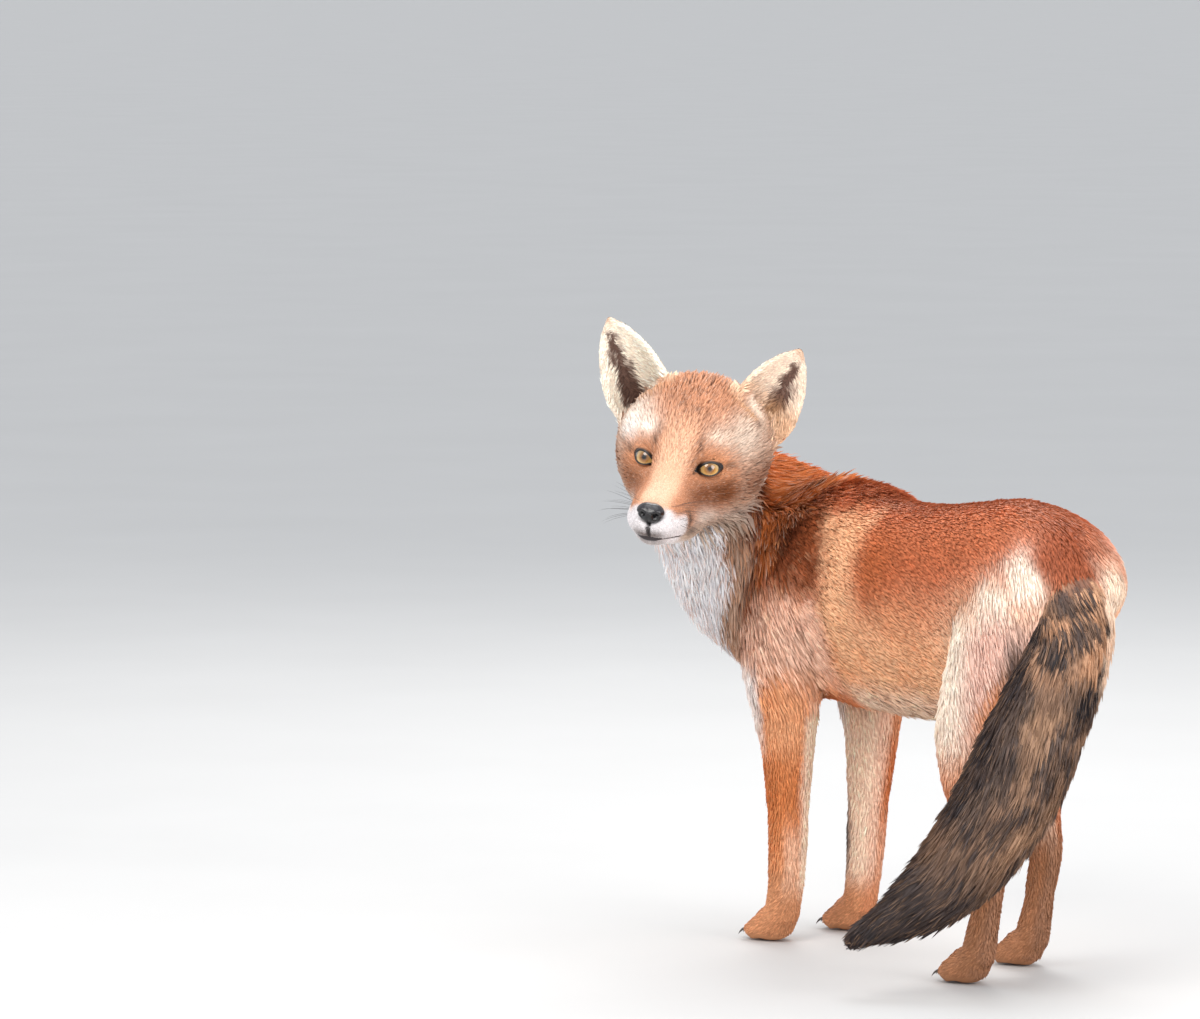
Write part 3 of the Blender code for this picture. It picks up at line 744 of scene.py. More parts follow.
for word, side in eyeSides:  # the hair in an ear sweeps from its rims towards the dark hollow
    mine = isGroup["ear"] & (side * headPoints[:, 0] > 0)
    low, high = (fromHead(spot) for spot in earHollow[word])
    t = shareAlong(skinPoints[mine], low, high)
    inwards = unit(low + t[:, None] * (high - low) - skinPoints[mine])
    sweep = unit(0.75 * inwards + 0.75 * unit(high - low))
    facing = earFacing(side, coatNormal[mine], -0.05)
    lie[mine] = mix(lie[mine], sweep, facing)
lie = unit(flattened(lie, coatNormal))
triangles = readArray(skin.data.polygons, "vertices", 3, np.int32)
skinTree = BVHTree.FromPolygons([Vector(p) for p in skinPoints], triangles.tolist())
print("face shaped")

# Markings.
furColours = {
    "rust": (0.50, 0.150, 0.066), "deepRust": (0.19, 0.046, 0.014), "orange": (0.74, 0.31, 0.135),
    "tan": (0.84, 0.48, 0.275), "belly": (0.90, 0.67, 0.52), "cream": (0.93, 0.80, 0.68),
    "white": (0.86, 0.83, 0.83), "grey": (0.54, 0.46, 0.40), "silver": (0.72, 0.50, 0.42),
    "brown": (0.070, 0.034, 0.022), "tailBrown": (0.185, 0.105, 0.066), "tailTan": (0.44, 0.255, 0.150),
    "black": (0.018, 0.014, 0.015), "peach": (0.76, 0.45, 0.29), "forehead": (0.52, 0.230, 0.120),
    "muzzleRust": (0.20, 0.066, 0.024), "cheek": (0.52, 0.345, 0.250), "brow": (0.78, 0.61, 0.48),
}
fur = {name: np.array(rgb) for name, rgb in furColours.items()}
trunkX = float(boxCentre("loin")[0])


facePatches = {  # colour, brightness, strength (None: in streaks), place on the left half, reach
    "cheek": (("brown", 2.8, 0.55, (0.052, 0.030, -0.010), (0.014, 0.018, 0.014)),
              ("orange", 0.92, 0.85, (0.030, -0.012, 0.002), (0.018, 0.016, 0.012))),
    "ruff": (("muzzleRust", 1.5, 0.60, (0.052, 0.040, -0.012), (0.014, 0.022, 0.014)),),
    "lowCheek": (("grey", 1.25, 0.80, (0.032, -0.022, -0.040), (0.012, 0.022, 0.008)),),
    "chin": (("brown", 2.0, 0.90, (0.008, -0.090, -0.059), (0.015, 0.014, 0.008)),
             ("brown", 1.2, 0.85, (0.004, -0.091, -0.0485), (0.010, 0.008, 0.0042))),
    "dark": (("brown", 1.0, None, (0.0260, -0.0500, -0.037), (0.009, 0.0062, 0.010)),
             ("brown", 1.0, 0.80, (0.029, -0.043, -0.0485), (0.008, 0.0110, 0.004)),
             ("brown", 1.3, None, (0.0172, -0.0160, 0.0150), (0.0030, 0.008, 0.0080)),
             ("brown", 0.8, None, (0.0160, -0.0230, -0.0015), (0.0032, 0.008, 0.0080)),
             ("brown", 1.0, 0.70, (0.041, -0.004, 0.002), (0.006, 0.007, 0.003))),
    # painted shadow: dark brown under the ear's front fold
    "earFoldShadow": (("brown", 1.5, 0.85, (0.052, 0.040, 0.0325), (0.0050, 0.005, 0.0026)),),
}


def patched(c, side, name, streak=None):
    for colour, bright, strength, place, reach in facePatches[name]:
        strength = streak if strength is None else strength
        c = mix(c, fur[colour] * bright, strength * blob(side, place, reach))
    return c


def headMarks(p, h):
    side = np.column_stack([np.abs(h[:, 0]), h[:, 1:]])
    x, y, z = side.T
    c = np.tile(fur["forehead"], (len(p), 1))
    c = mix(c, fur["cheek"], 0.9 * ramp(x, 0.026, 0.046) * ramp(y, -0.012, 0.02))
    # painted light: the pale brow is painted brighter on the lit right half of the face (x below 0) and
    # darker on the shaded left half
    brow = fur["brow"] * np.where(h[:, :1] < 0, (1.20, 1.38, 1.55), (0.84, 0.86, 0.88))
    c = mix(c, brow, 0.95 * blob(side, (0.042, 0.016, 0.022), (0.023, 0.029, 0.015)))
    c = mix(c, brow * 1.1, 0.90 * blob(side, (0.027, -0.002, 0.022), (0.009, 0.016, 0.006)))
    c = mix(c, fur["grey"], 0.75 * ramp(-z, 0.028, 0.044) * ramp(y, -0.042, -0.01))
    c = patched(c, side, "cheek")
    # painted light: the rusty streaks are painted fainter on the lit right half of the face (x below 0)
    shadedSideWeight = np.where(h[:, 0] < 0, 0.55, 1.0)
    streakBack = np.clip(1.3 * blob(side, (0.038, -0.008, -0.019), (0.016, 0.020, 0.010)), 0, 1)
    c = mix(c, fur["muzzleRust"] * 0.95, shadedSideWeight * streakBack)
    c = patched(c, side, "ruff")
    c = mix(c, fur["peach"], (1 - ramp(x, 0.008, 0.017)) * (1 - ramp(y, -0.030, 0.012)))
    c = mix(c, fur["brow"] * 1.05, 0.25 * (1 - ramp(x, 0.004, 0.013)) * (1 - ramp(y, -0.075, -0.035)))
    streakFront = np.clip(1.2 * blob(side, (0.028, -0.030, -0.021), (0.011, 0.025, 0.012)), 0, 1)
    c = mix(c, fur["muzzleRust"], shadedSideWeight * streakFront)
    c = patched(c, side, "lowCheek")
    c = mix(c, fur["grey"] * (0.95, 0.84, 0.76), ramp(-z, 0.040, 0.049) * ramp(y, -0.062, -0.048))
    # painted light: a white patch painted on the lit right half of the face only
    paler = blob(side, (0.044, 0.010, 0.016), (0.015, 0.015, 0.009)) * (h[:, 0] < 0)
    c = mix(c, fur["white"] * (1.05, 1.0, 0.95), 0.75 * paler)
    lip = ramp(-z, 0.029, 0.036) * (1 - ramp(y + 0.35 * (z + 0.045), -0.060, -0.050))
    lip = np.maximum(lip, ramp(-z - 0.4 * (y + 0.085), 0.024, 0.030) * (1 - ramp(y, -0.085, -0.070)))
    c = mix(c, fur["white"] * (0.88, 0.86, 0.87), lip)
    c = mix(c, fur["white"] * 0.9, ramp(-z, 0.054, 0.062) * (1 - ramp(y, -0.05, 0.01)))
    c = patched(c, side, "chin")
    cleft = (1 - ramp(x, 0.0008, 0.0022)) * ramp(-z, 0.036, 0.039) * (1 - ramp(y, -0.088, -0.084))
    c = mix(c, fur["black"] * 1.5, cleft)
    streak = 0.45 + 0.55 * ramp(latticeNoise(p * (1.0, 1.0, 0.45), 0.0022, 13), -0.3, 0.4)
    c = patched(c, side, "dark", streak)
    fleck = ramp(latticeNoise(p, 0.0042, 9), 0.15, 0.7)
    crown = (1 - ramp(x, 0.014, 0.030)) * ramp(y, -0.012, 0.004) * (1 - ramp(y, 0.05, 0.075))
    c = mix(c, fur["brown"] * 2.5, 0.50 * fleck * (crown * ramp(z, 0.01, 0.02)))
    fleck = ramp(latticeNoise(p, 0.0035, 12), 0.2, 0.8)
    c = mix(c, fur["muzzleRust"] * 1.5, 0.35 * fleck * ramp(x, 0.024, 0.04))
    low = 1 - ramp(z, 0.0, 0.02)
    c = mix(c, fur["brown"] * (3.2, 2.6, 2.4), 0.8 * ramp(y, 0.050, 0.085) * low)
    nape = ramp(y, 0.098 - 0.012 * low, 0.114 - 0.008 * low)
    c = mix(c, fur["deepRust"] * (1 + 0.5 * (1 - low))[:, None], nape)
    fold, hollow = foldNear(side)
    c = mix(c, fur["cream"] * (0.92, 0.85, 0.80), np.clip(1.6 * hollow, 0, 1))
    # painted shade: the tan rim of the ear's fold goes darker towards its root
    root = ramp(nearPath(side, earFold)[0], 0.25, 0.6)
    rim = fur["tan"] * mix(np.array((1.02, 1.30, 1.55)), np.array((0.66, 0.62, 0.56)), root)
    c = mix(c, rim, np.clip(1.5 * fold, 0, 1))
    return patched(c, side, "earFoldShadow")


def earMarks(p, n, word, side):
    axis = earTip[word] - earBase[word]
    tall = (p - earBase[word]) @ axis / (axis @ axis)
    inside = earFacing(side, n, -0.50)
    low, high = (fromHead(spot) for spot in earHollow[word])
    t = shareAlong(p, low, high)
    away = np.linalg.norm(p - low - t[:, None] * (high - low), axis=1)
    flat = p - 0.7 * np.outer(p @ unit(axis), unit(axis))
    # dark brown down the ear's hollow: partly the hollow's own dark skin, partly painted shade in the recess
    dark = 1 - ramp(away + 0.0050 * latticeNoise(flat, 0.0030, 31), 0.0080 - 0.0050 * t, 0.0160 - 0.0080 * t)
    # painted light: the ear's pale inside is painted darker in the shaded left ear (side above 0) than in the
    # lit right ear
    pale = fur["cream"] * ((0.92, 0.85, 0.80) if side > 0 else (1.06, 1.06, 1.04))
    hollow = mix(np.tile(pale, (len(p), 1)), fur["brown"] * (1.3, 1.0, 1.0), 0.95 * dark)
    # painted shade: the low inside of the shaded left ear only is painted tan
    if side > 0:
        hollow = mix(hollow, fur["tan"] * (0.80, 0.76, 0.62), 0.6 * (1 - ramp(tall, 0.18, 0.50)))
    hollow = mix(hollow, fur["tan"] * 0.60, 0.8 * ramp(tall + 0.08 * latticeNoise(p, 0.004, 32), 0.84, 1.0))
    behind = mix(np.tile(fur["rust"] * 0.8, (len(p), 1)), fur["black"], ramp(tall, 0.15, 0.42))
    return mix(behind, hollow, inside)


def trunkMarks(p, n):
    x, y, z = p[:, 0] - trunkX, p[:, 1], p[:, 2]
    off = np.abs(x)
    side = np.stack([off, y, z], axis=1)
    c = np.tile(fur["tan"], (len(p), 1))
    c = mix(c, fur["orange"], 0.35 * ramp(latticeNoise(p, 0.022, 21), -0.3, 0.8))
    c = mix(c, fur["belly"], 1 - ramp(z, 0.208, 0.240))
    edge = 0.301 + 0.028 * ramp(y, 0.06, 0.15) + 0.006 * latticeNoise(p, 0.030, 25)
    saddle = ramp(z, edge - 0.044, edge + 0.030) * ramp(y, -0.046, -0.016)
    saddle = np.maximum(saddle, ramp(z, 0.358, 0.378))
    c = mix(c, fur["rust"] * (1.08, 1.04, 0.95), saddle)
    behind = blob(side, (0.054, -0.006, 0.326), (0.04, 0.022, 0.036))  # behind the shoulder's pale patch
    c = mix(c, fur["rust"] * (0.95, 0.85, 0.6), 0.8 * behind)
    c = mix(c, fur["rust"] * 0.78, 0.8 * (1 - ramp(off, 0.010, 0.030)) * ramp(z, 0.34, 0.37))
    dark = ramp(latticeNoise(p, 0.006, 22), 0.1, 0.7) * ramp(y, 0.10, 0.14) * ramp(z, 0.35, 0.37)
    c = mix(c, fur["deepRust"], 0.35 * dark)
    shoulder = 1 - ramp(y + 0.35 * np.maximum(z - 0.33, 0), -0.088, -0.064)
    c = mix(c, quarterMarks(p), shoulder)
    hip = np.maximum(blob(side, (0.044, 0.188, 0.338), (0.022, 0.022, 0.026)),
                     blob(side, (0.056, 0.160, 0.310), (0.030, 0.026, 0.024)))
    stripe = (1 - ramp(np.abs(p[:, 0] + 0.061), 0.014, 0.026)) * ramp(y, 0.15, 0.20)
    c = mix(c, fur["cream"], np.clip(1.5 * hip, 0, 1) * 0.92 * (1 - stripe))
    c = mix(c, fur["rust"] * (0.54, 0.40, 0.30), 0.85 * stripe)
    rear = np.clip(1.7 * blob(p, (-0.093, 0.232, 0.312), (0.020, 0.026, 0.040)), 0, 1)
    rear = rear * ramp(-p[:, 0], 0.064, 0.076)
    c = mix(c, fur["cream"] * (0.84, 0.76, 0.70), rear)
    flankFold = blob(side, (0.066, 0.105, 0.265), (0.03, 0.032, 0.045))
    c = mix(c, fur["cream"] * (0.95, 0.85, 0.78), 0.55 * flankFold)
    return bibMarks(p, breastEdge(p, n, c))


def quarterMarks(p):  # rust with golden and silver tips over the shoulder
    z = p[:, 2]
    c = mix(np.tile(fur["orange"], (len(p), 1)), fur["rust"] * (0.9, 0.8, 0.6), ramp(z, 0.27, 0.33))
    z = z + 0.010 * latticeNoise(p, 0.012, 27)
    fine = ramp(latticeNoise(p * (1.0, 1.0, 0.5), 0.0030, 28), -0.4, 0.5)
    frost = mix(fur["silver"] * (1.28, 1.22, 1.12) + 0 * p, fur["brown"] * 3.5, 0.45 * (1 - fine))
    c = mix(c, frost, 0.85 * ramp(z, 0.204, 0.252) * (1 - ramp(z, 0.285, 0.322)))
    streak = ramp(latticeNoise(p, 0.010, 23), 0.0, 0.6)
    c = mix(c, fur["deepRust"], (0.50 + 0.40 * streak) * ramp(z, 0.295, 0.325) * (1 - ramp(z, 0.375, 0.39)))
    c = mix(c, fur["tan"], 0.35 * ramp(latticeNoise(p, 0.006, 24), 0.3, 0.8) * ramp(z, 0.25, 0.30))
    return neckShade(p, c)


throatLine = np.array(((0.060, -0.170, 0.345), (0.022, -0.212, 0.312), (-0.005, -0.226, 0.285),
                       (-0.035, -0.232, 0.262), (-0.062, -0.200, 0.228)))  # middle of the bib


def bibMarks(p, c):  # the white bib with its grizzled edge
    share, away, _ = nearPath(p, throatLine)
    away = away - 0.0465 + 0.019 * share + 0.004 * latticeNoise(p, 0.010, 41)
    grizzle = fur["grey"] * (0.95, 0.72, 0.58)
    c = mix(c, grizzle, 0.80 * (1 - ramp(away, 0.011, 0.026)))
    return mix(c, fur["white"] * (1.05, 1.08, 1.12), 1 - ramp(away, -0.005, 0.005))


def neckShade(p, c):  # the darkest fur: painted shade where the turned neck folds, over its dark rust
    shade = np.maximum(blob(p, (-0.032, -0.126, 0.350), (0.030, 0.023, 0.030)),
                       blob(p, (-0.060, -0.150, 0.374), (0.026, 0.024, 0.014)))
    return mix(c, fur["deepRust"] * (0.42, 0.32, 0.22), 0.92 * shade)


def neckMarks(p, n):
    # painted light: the neck's fur is bright rust where it faces up and dark rust where it faces down
    c = mix(np.tile(fur["deepRust"], (len(p), 1)), fur["rust"] * (1.25, 1.12, 0.55), ramp(n[:, 2], 0.0, 0.45))
    h = toHead(p)
    # painted shadow of the head: greyish brown on the neck just under the jaw
    under = 1 - ramp(np.linalg.norm((h - (0.0, 0.02, -0.045)) / (0.062, 0.070, 0.035), axis=1), 0.75, 1.15)
    c = mix(c, fur["grey"] * (0.62, 0.50, 0.44), 0.8 * under)
    return bibMarks(p, neckShade(p, c))


def breastEdge(p, n, c):  # white hair running down from the bib along the front of the leg
    z = p[:, 2]
    front = ramp(n @ unit(np.array((0.82, -0.57, 0.0))), 0.80, 0.97) * (p[:, 1] < -0.12)
    front = 0.85 * front * ramp(z, 0.158, 0.195) * (1 - ramp(z, 0.228, 0.250))
    return mix(c, fur["white"] * (1.0, 0.94, 0.90), front)


def legMarks(p, n, fore):
    # painted shade in the grooves between the toes
    return (1 - toeSettings["shade"] * toeGap(p))[:, None] * limbMarks(p, n, fore)


def limbMarks(p, n, fore):
    x, y, z = p[:, 0] - trunkX, p[:, 1], p[:, 2]
    outer = ramp(n[:, 0] * np.sign(x), -0.30, 0.30)
    body = trunkMarks(p, n)
    if fore:
        c = np.tile(fur["orange"], (len(p), 1))
        c = mix(c, fur["orange"] * (0.82, 0.64, 0.45), np.exp(-((z - 0.13) / 0.05) ** 2))
        c = mix(c, fur["orange"] * (0.86, 0.92, 1.0), 1 - ramp(z, 0.04, 0.09))
        c = mix(c, fur["tan"], 0.40 * ramp(z, 0.150, 0.185))
        inner = np.maximum(1 - outer, 0.45 * ramp(n[:, 1], 0.35, 0.85) * (1 - ramp(z, 0.085, 0.12)))
        c = mix(c, fur["belly"] * 1.12, 0.92 * inner * ramp(z, 0.03, 0.07))
        c = mix(c, fur["rust"] * 1.2, 0.3 * ramp(n[:, 1], 0.6, 0.95) * (x < 0))
        strip = ramp(n @ unit(np.array((0.72, -0.69, 0.0))), 0.72, 1.0) * np.exp(-((z - 0.085) / 0.038) ** 2)
        c = mix(c, fur["black"] * 2, 0.92 * strip * (x < 0))
        return breastEdge(p, n, mix(c, body, ramp(z, 0.19, 0.235)))
    y = y + 0.046 * (x < 0) * (1 - ramp(z, 0.21, 0.33))
    c = mix(np.tile(fur["rust"] * (1.2, 1.45, 1.6), (len(p), 1)), fur["orange"], ramp(z, 0.13, 0.20))
    c = mix(c, fur["rust"] * 1.1, 0.5 * ramp(y, 0.16, 0.20))
    pale = 1 - ramp(y - 0.140 - 0.9 * np.maximum(0, z - 0.225), 0, 0.022)
    c = mix(c, fur["silver"] * (1.10, 1.05, 1.05), 0.9 * pale * ramp(z, 0.165, 0.225))
    c = mix(c, fur["cream"], 0.90 * (1 - ramp(y, 0.122, 0.158)) * ramp(z, 0.150, 0.225))
    c = mix(c, fur["belly"] * 0.85, 0.9 * (1 - outer) * ramp(z, 0.05, 0.12))
    c = mix(c, fur["orange"] * (0.62, 0.66, 0.72), 1 - ramp(z, 0.09, 0.15))
    c = mix(c, fur["brown"] * 2.4, 0.5 * (1 - ramp(z, 0.09, 0.15)) * ramp(n[:, 1], 0.4, 0.9))
    c = mix(c, body, ramp(z, 0.285, 0.325))
    streak = latticeNoise(p * (1.0, 1.0, 0.5), 0.004, 26)
    beside = ramp(y + 0.004 * streak, 0.175, 0.189) * ramp(z, 0.10, 0.14) * (1 - ramp(z, 0.270, 0.305))
    return mix(c, mix(fur["tailBrown"] * 1.1 + 0 * p, fur["black"] * 2, ramp(streak, -0.5, 0.5)),
               0.85 * beside * (x > 0))


def tailMarks(p):  # black and brown grizzle in streaks along the tail
    t = nearPath(p, tailPath)[0]
    way = unit(tailEnd - tailPath[1])
    flat = p - 0.72 * np.outer(p @ way, way)
    patch, streak = latticeNoise(flat, 0.015, 5), latticeNoise(flat, 0.0042, 6)
    grain = 0.40 * patch + 0.75 * streak
    toRight = unit(np.array((-0.82, 0.57, 0.0)))
    steps = np.linalg.norm(np.diff(tailPath, axis=0), axis=1)
    knots = np.append(0, np.cumsum(steps)) / steps.sum()
    across = p @ toRight - np.interp(t, knots, tailPath @ toRight)
    c = mix(np.tile(fur["rust"] * (0.8, 1.0, 1.2), (len(p), 1)), fur["tailBrown"] * 1.15,
            ramp(t + 0.02 * grain, 0.08, 0.15))
    c = mix(c, fur["tailTan"] * (1.25, 1.15, 1.1), 0.80 * ramp(grain, -0.4, 0.3) * ramp(t, 0.07, 0.12)
            * (1 - ramp(t, 0.22, 0.30)))
    c = mix(c, fur["black"] * 1.7, 0.85 * ramp(-grain, -0.10, 0.40) * ramp(t, 0.10, 0.15))
    c = mix(c, fur["tailTan"] * 0.85, 0.60 * ramp(0.6 * patch + streak, 0.0, 0.8) * ramp(t, 0.28, 0.36)
            * (1 - ramp(t, 0.60, 0.72)))
    for place, reach in (((-0.026, 0.245, 0.289), 0.009), ((-0.043, 0.250, 0.256), 0.014)):
        spot = blob(p + 0.004 * grain[:, None], place, (reach,) * 3)
        c = mix(c, fur["black"] * 1.3, np.clip(1.6 * spot, 0, 1))
    rim = ramp(-across + 0.004 * grain, 0.006, 0.016) * ramp(t, 0.08, 0.14) * (1 - ramp(t, 0.55, 0.70))
    c = mix(c, fur["black"] * 1.7, 0.80 * rim)
    right = p @ toRight + 0.004 * streak
    c = mix(c, fur["cream"] * (0.80, 0.68, 0.60), 0.9 * ramp(right, 0.188, 0.195) * (1 - ramp(t, 0.22, 0.30)))
    return mix(c, fur["black"] * 1.5, 0.90 * ramp(t + 0.05 * grain, 0.62, 0.80))


def markings(p, n, kind):
    wander = np.stack([latticeNoise(p, 0.017, s) for s in (1, 2, 3)], axis=1) * 0.0045
    wander[kind == groupNames.index("head")] *= 0.35
    wander[kind == groupNames.index("ear")] *= 0.35
    q = p + wander
    out = np.zeros_like(p)
    h = toHead(q)
    for index, name in enumerate(groupNames):
        mine = kind == index
        if not mine.any():
            continue
        if name == "head":
            out[mine] = headMarks(q[mine], h[mine])
        elif name == "ear":
            for word, side in eyeSides:
                this = mine & (side * h[:, 0] > 0)
                out[this] = earMarks(q[this], n[this], word, side)
        elif name == "neck":
            out[mine] = neckMarks(q[mine], n[mine])
        elif name == "trunk":
            out[mine] = trunkMarks(q[mine], n[mine])
        elif name == "tail":
            out[mine] = tailMarks(q[mine])
        else:
            out[mine] = legMarks(q[mine], n[mine], name == "fore")
    return out


skinFinish = {"rough": 0.72, "grain": 900.0, "grainDepth": 0.00035, "dark": 0.86}
skinTint = spread(markings(skinPoints, coatNormal, group), 2)
paint(skin, "tint", skinTint * skinFinish["dark"])
print("markings drawn")

# An unwrap of the skin, which the coat's patches share.
bpy.context.view_layer.objects.active = skin
skin.select_set(True)
bpy.ops.object.mode_set(mode="EDIT")
bpy.ops.mesh.select_all(action="SELECT")
bpy.ops.uv.smart_project(angle_limit=math.radians(66), island_margin=0.0015)
bpy.ops.object.mode_set(mode="OBJECT")
skin.data.uv_layers[0].name = "OFBake"
skinUv = readArray(skin.data.uv_layers["OFBake"].data, "uv", 2).reshape(-1, 3, 2).astype(float)
print("skin unwrapped")

# The skin's own finish.
coatFinish = {"rough": 0.58, "patches": 55.0, "patchShade": 0.16}


def furMaterial(name, rough, grain=None, grainDepth=0.0):
    material, tree = newMaterial(name, Roughness=rough, Specular_IOR_Level=0.28)
    point = objectPoint(tree)
    patches = noiseAt(tree, point, coatFinish["patches"]) * (2 * coatFinish["patchShade"])
    dress(material, Base_Color=shadedTint(tree, patches + (1 - coatFinish["patchShade"])))
    if grain:
        dress(material, Normal=relief(tree, noiseAt(tree, point, grain), grainDepth, 0.6))
    return material


skin.data.materials.clear()
skin.data.materials.append(furMaterial("underfur", skinFinish["rough"], skinFinish["grain"],
                                       skinFinish["grainDepth"]))
skin.data.shade_smooth()


def meshPiece(name, vertices, faces, material):  # quick mesh of triangles from arrays
    mesh = bpy.data.meshes.new(name)
    mesh.vertices.add(len(vertices))
    mesh.vertices.foreach_set("co", vertices.astype(np.float32).ravel())
    mesh.loops.add(faces.size)
    mesh.loops.foreach_set("vertex_index", faces.astype(np.int32).ravel())
    mesh.polygons.add(len(faces))
    mesh.polygons.foreach_set("loop_start", np.arange(0, faces.size, 3, dtype=np.int32))
    mesh.update(calc_edges=True)
    mesh.shade_flat()
    mesh.materials.append(material)
    return newObject(name, mesh)


# The coat.
coatSettings = {
    "perTuft": 3, "lengthSpread": 0.24, "turnSpread": 7.0, "liftSpread": 3.0, "middle": 0.42,
    "widthBase": 0.00034, "widthShare": 0.024, "rootDepth": 0.0007, "floorGap": 0.0005,
    "laneStep": 0.8, "laneJitter": 0.35, "slide": 0.12, "fan": 0.16, "tipSlide": 0.18, "tipRise": (-0.4, 0.8),
    "sway": 0.10, "roundness": 0.5, "patch": 0.003,
    "rootShade": 0.80, "bodyShade": 0.96, "tipShade": 1.10, "tuftTone": 0.10, "lockTone": 0.08,
}
coatPieces = {  # starts of the nodes it grows on, tufts of three locks, and one of the nodes it grows on
    "coatHead": (("head", "lower_jaw", "eye"), 15000, "head"),
    "coatMuzzle": (("muzzle", "nose"), 6500, "muzzle"),
    "coatEars": (("ear",), 7800, "ear_left"),
    "coatNeck": (("neck",), 16500, "neck"),
    "coatChest": (("chest",), 15000, "chest"),
    "coatLoin": (("loin",), 11000, "loin"),
    "coatRump": (("rump",), 12000, "rump"),
    "coatTail": (("tail",), 16300, "tail_middle"),
    "coatForeLegs": (("fore_",), 12500, "fore_left_forearm"),
    "coatHindLegs": (("hind_",), 12500, "hind_left_thigh"),
}
hairRegions = {  # how much longer the hair is, and how many degrees more its root and tip halves lift
    "scruff": (0.20, 4, 9), "inEar": (1.0, 5, 3), "ruff": (0.8, 0, 3), "tuft": (0.40, 20, 18),
    "fringe": (0.6, 0, 7),
}


def regionShares():  # where those regions lie, from 0 to 1 on the skin's corners
    inEar = np.zeros(count)
    for word, side in eyeSides:
        axis = earTip[word] - earBase[word]
        tall = (skinPoints - earBase[word]) @ axis / (axis @ axis)
        inside = isGroup["ear"] & (side * headPoints[:, 0] > 0) & (coatNormal @ earOpening(side) > 0.45)
        inEar = np.where(inside, 1 - ramp(tall, 0.35, 0.80), inEar)
    _, y, z = headPoints.T
    belly = 1 - ramp(skinPoints[:, 2], 0.208, 0.238)
    return {
        "scruff": blob(skinPoints, (trunkX + 0.01, -0.098, 0.385), (0.050, 0.045, 0.035)),
        "inEar": inEar,
        "ruff": isGroup["head"] * ramp(y, 0.015, 0.060) * (1 - ramp(z, 0.0, 0.03)),
        "tuft": spread(isGroup["head"] * ramp(y, 0.02, 0.05) * ramp(z, 0.035, 0.055), 4),
        "fringe": isGroup["trunk"] * belly * ramp(skinPoints[:, 1], -0.060, -0.030),
    }


regions = regionShares()
for name, (longer, rootUp, tipUp) in hairRegions.items():
    length = length * (1 + longer * regions[name])
    liftRoot = liftRoot + rootUp * regions[name]
    liftTip = liftTip + tipUp * regions[name]
length = length * (0.50 + 0.50 * ramp(eyeGap, 0.002, 0.014))  # short beside the eyes
fineness = spread(np.maximum(0.45 * isGroup["neck"], 0.50 * regions["ruff"]), 3)
mussed = 1 + isGroup["neck"] + 0.8 * regions["scruff"]
skinFields = np.column_stack([coatNormal, lie, length, liftRoot, liftTip, mussed, fineness])

triCorners = skinPoints[triangles]
triCross = np.cross(triCorners[:, 1] - triCorners[:, 0], triCorners[:, 2] - triCorners[:, 0])
triArea = np.linalg.norm(triCross, axis=1) / 2
triLength = length[triangles].mean(axis=1)
triWidth = coatSettings["widthBase"] + coatSettings["widthShare"] * triLength
triWidth = triWidth * (1 - fineness[triangles].mean(axis=1))
triOwner = owner[triangles[:, 0]]
triMiddle = triCorners.mean(axis=1)
triHead = toHead(triMiddle)
noseSpan = np.linalg.norm((triHead - toHead(noseCentre)) / (0.0125, 0.0105, 0.0100), axis=1)
grows = (eyeGap[triangles].min(axis=1) > 0.0019) & (noseSpan > 1) & (triMiddle[:, 2] > 0.003)
grows &= (offMouth(triHead) > 0.0016) | ~isGroup["head"][triangles[:, 0]]
grows &= ~((triMiddle[:, 2] < 0.008) & (triCross[:, 2] < 0))


def curveOrder(points):  # an order in which neighbours on the body stay near each other
    q = ((points - points.min(axis=0)) / 0.0025).astype(np.int64)
    key = np.zeros(len(q), np.int64)
    for bit in range(9):
        for axis in range(3):
            key |= ((q[:, axis] >> bit) & 1) << (3 * bit + axis)
    return np.argsort(key, kind="stable")


def fieldsAt(faces, weights):
    return np.einsum("nk,nkc->nc", weights, skinFields[triangles[faces]])


def weightsIn(faces, points):  # barycentric weights of points that lie in these faces
    a, b, c = triCorners[faces, 0], triCorners[faces, 1], triCorners[faces, 2]
    cross = triCross[faces]
    area = np.maximum(np.sum(cross * cross, axis=1), 1e-20)
    wb = np.sum(np.cross(points - a, c - a) * cross, axis=1) / area
    wc = np.sum(np.cross(b - a, points - a) * cross, axis=1) / area
    w = np.clip(np.stack([1 - wb - wc, wb, wc], axis=1), 0, 1)
    return w / w.sum(axis=1, keepdims=True)


def ontoSkin(points):
    places, faces = np.zeros_like(points), np.zeros(len(points), np.int64)
    for k, p in enumerate(points):
        place, _, face, _ = skinTree.find_nearest(p)
        places[k], faces[k] = place, face
    return places, fieldsAt(faces, weightsIn(faces, places))


def turned(direction, normal, degrees):
    a = np.radians(degrees)[:, None]
    return np.cos(a) * direction + np.sin(a) * np.cross(normal, direction)


def tuftRoots(starts, tufts):  # faces, weights and places of roots, spread by how much hair a face needs
    mine = np.isin(triOwner, [i for i, n in enumerate(nodeNames) if n.startswith(starts)]) & grows
    faces = np.flatnonzero(mine)
    faces = faces[curveOrder(triMiddle[faces])]
    share = np.cumsum(triArea[faces] / (triLength[faces] * triWidth[faces]))
    at = (np.arange(tufts) + dice.random(tufts)) / tufts * share[-1]
    roots = faces[np.minimum(np.searchsorted(share, at), len(faces) - 1)]
    r1, r2 = np.sqrt(dice.random(tufts)), dice.random(tufts)
    w = np.stack([1 - r1, r1 * (1 - r2), r1 * r2], axis=1)
    return roots, w, np.einsum("nk,nkc->nc", w, triCorners[roots])


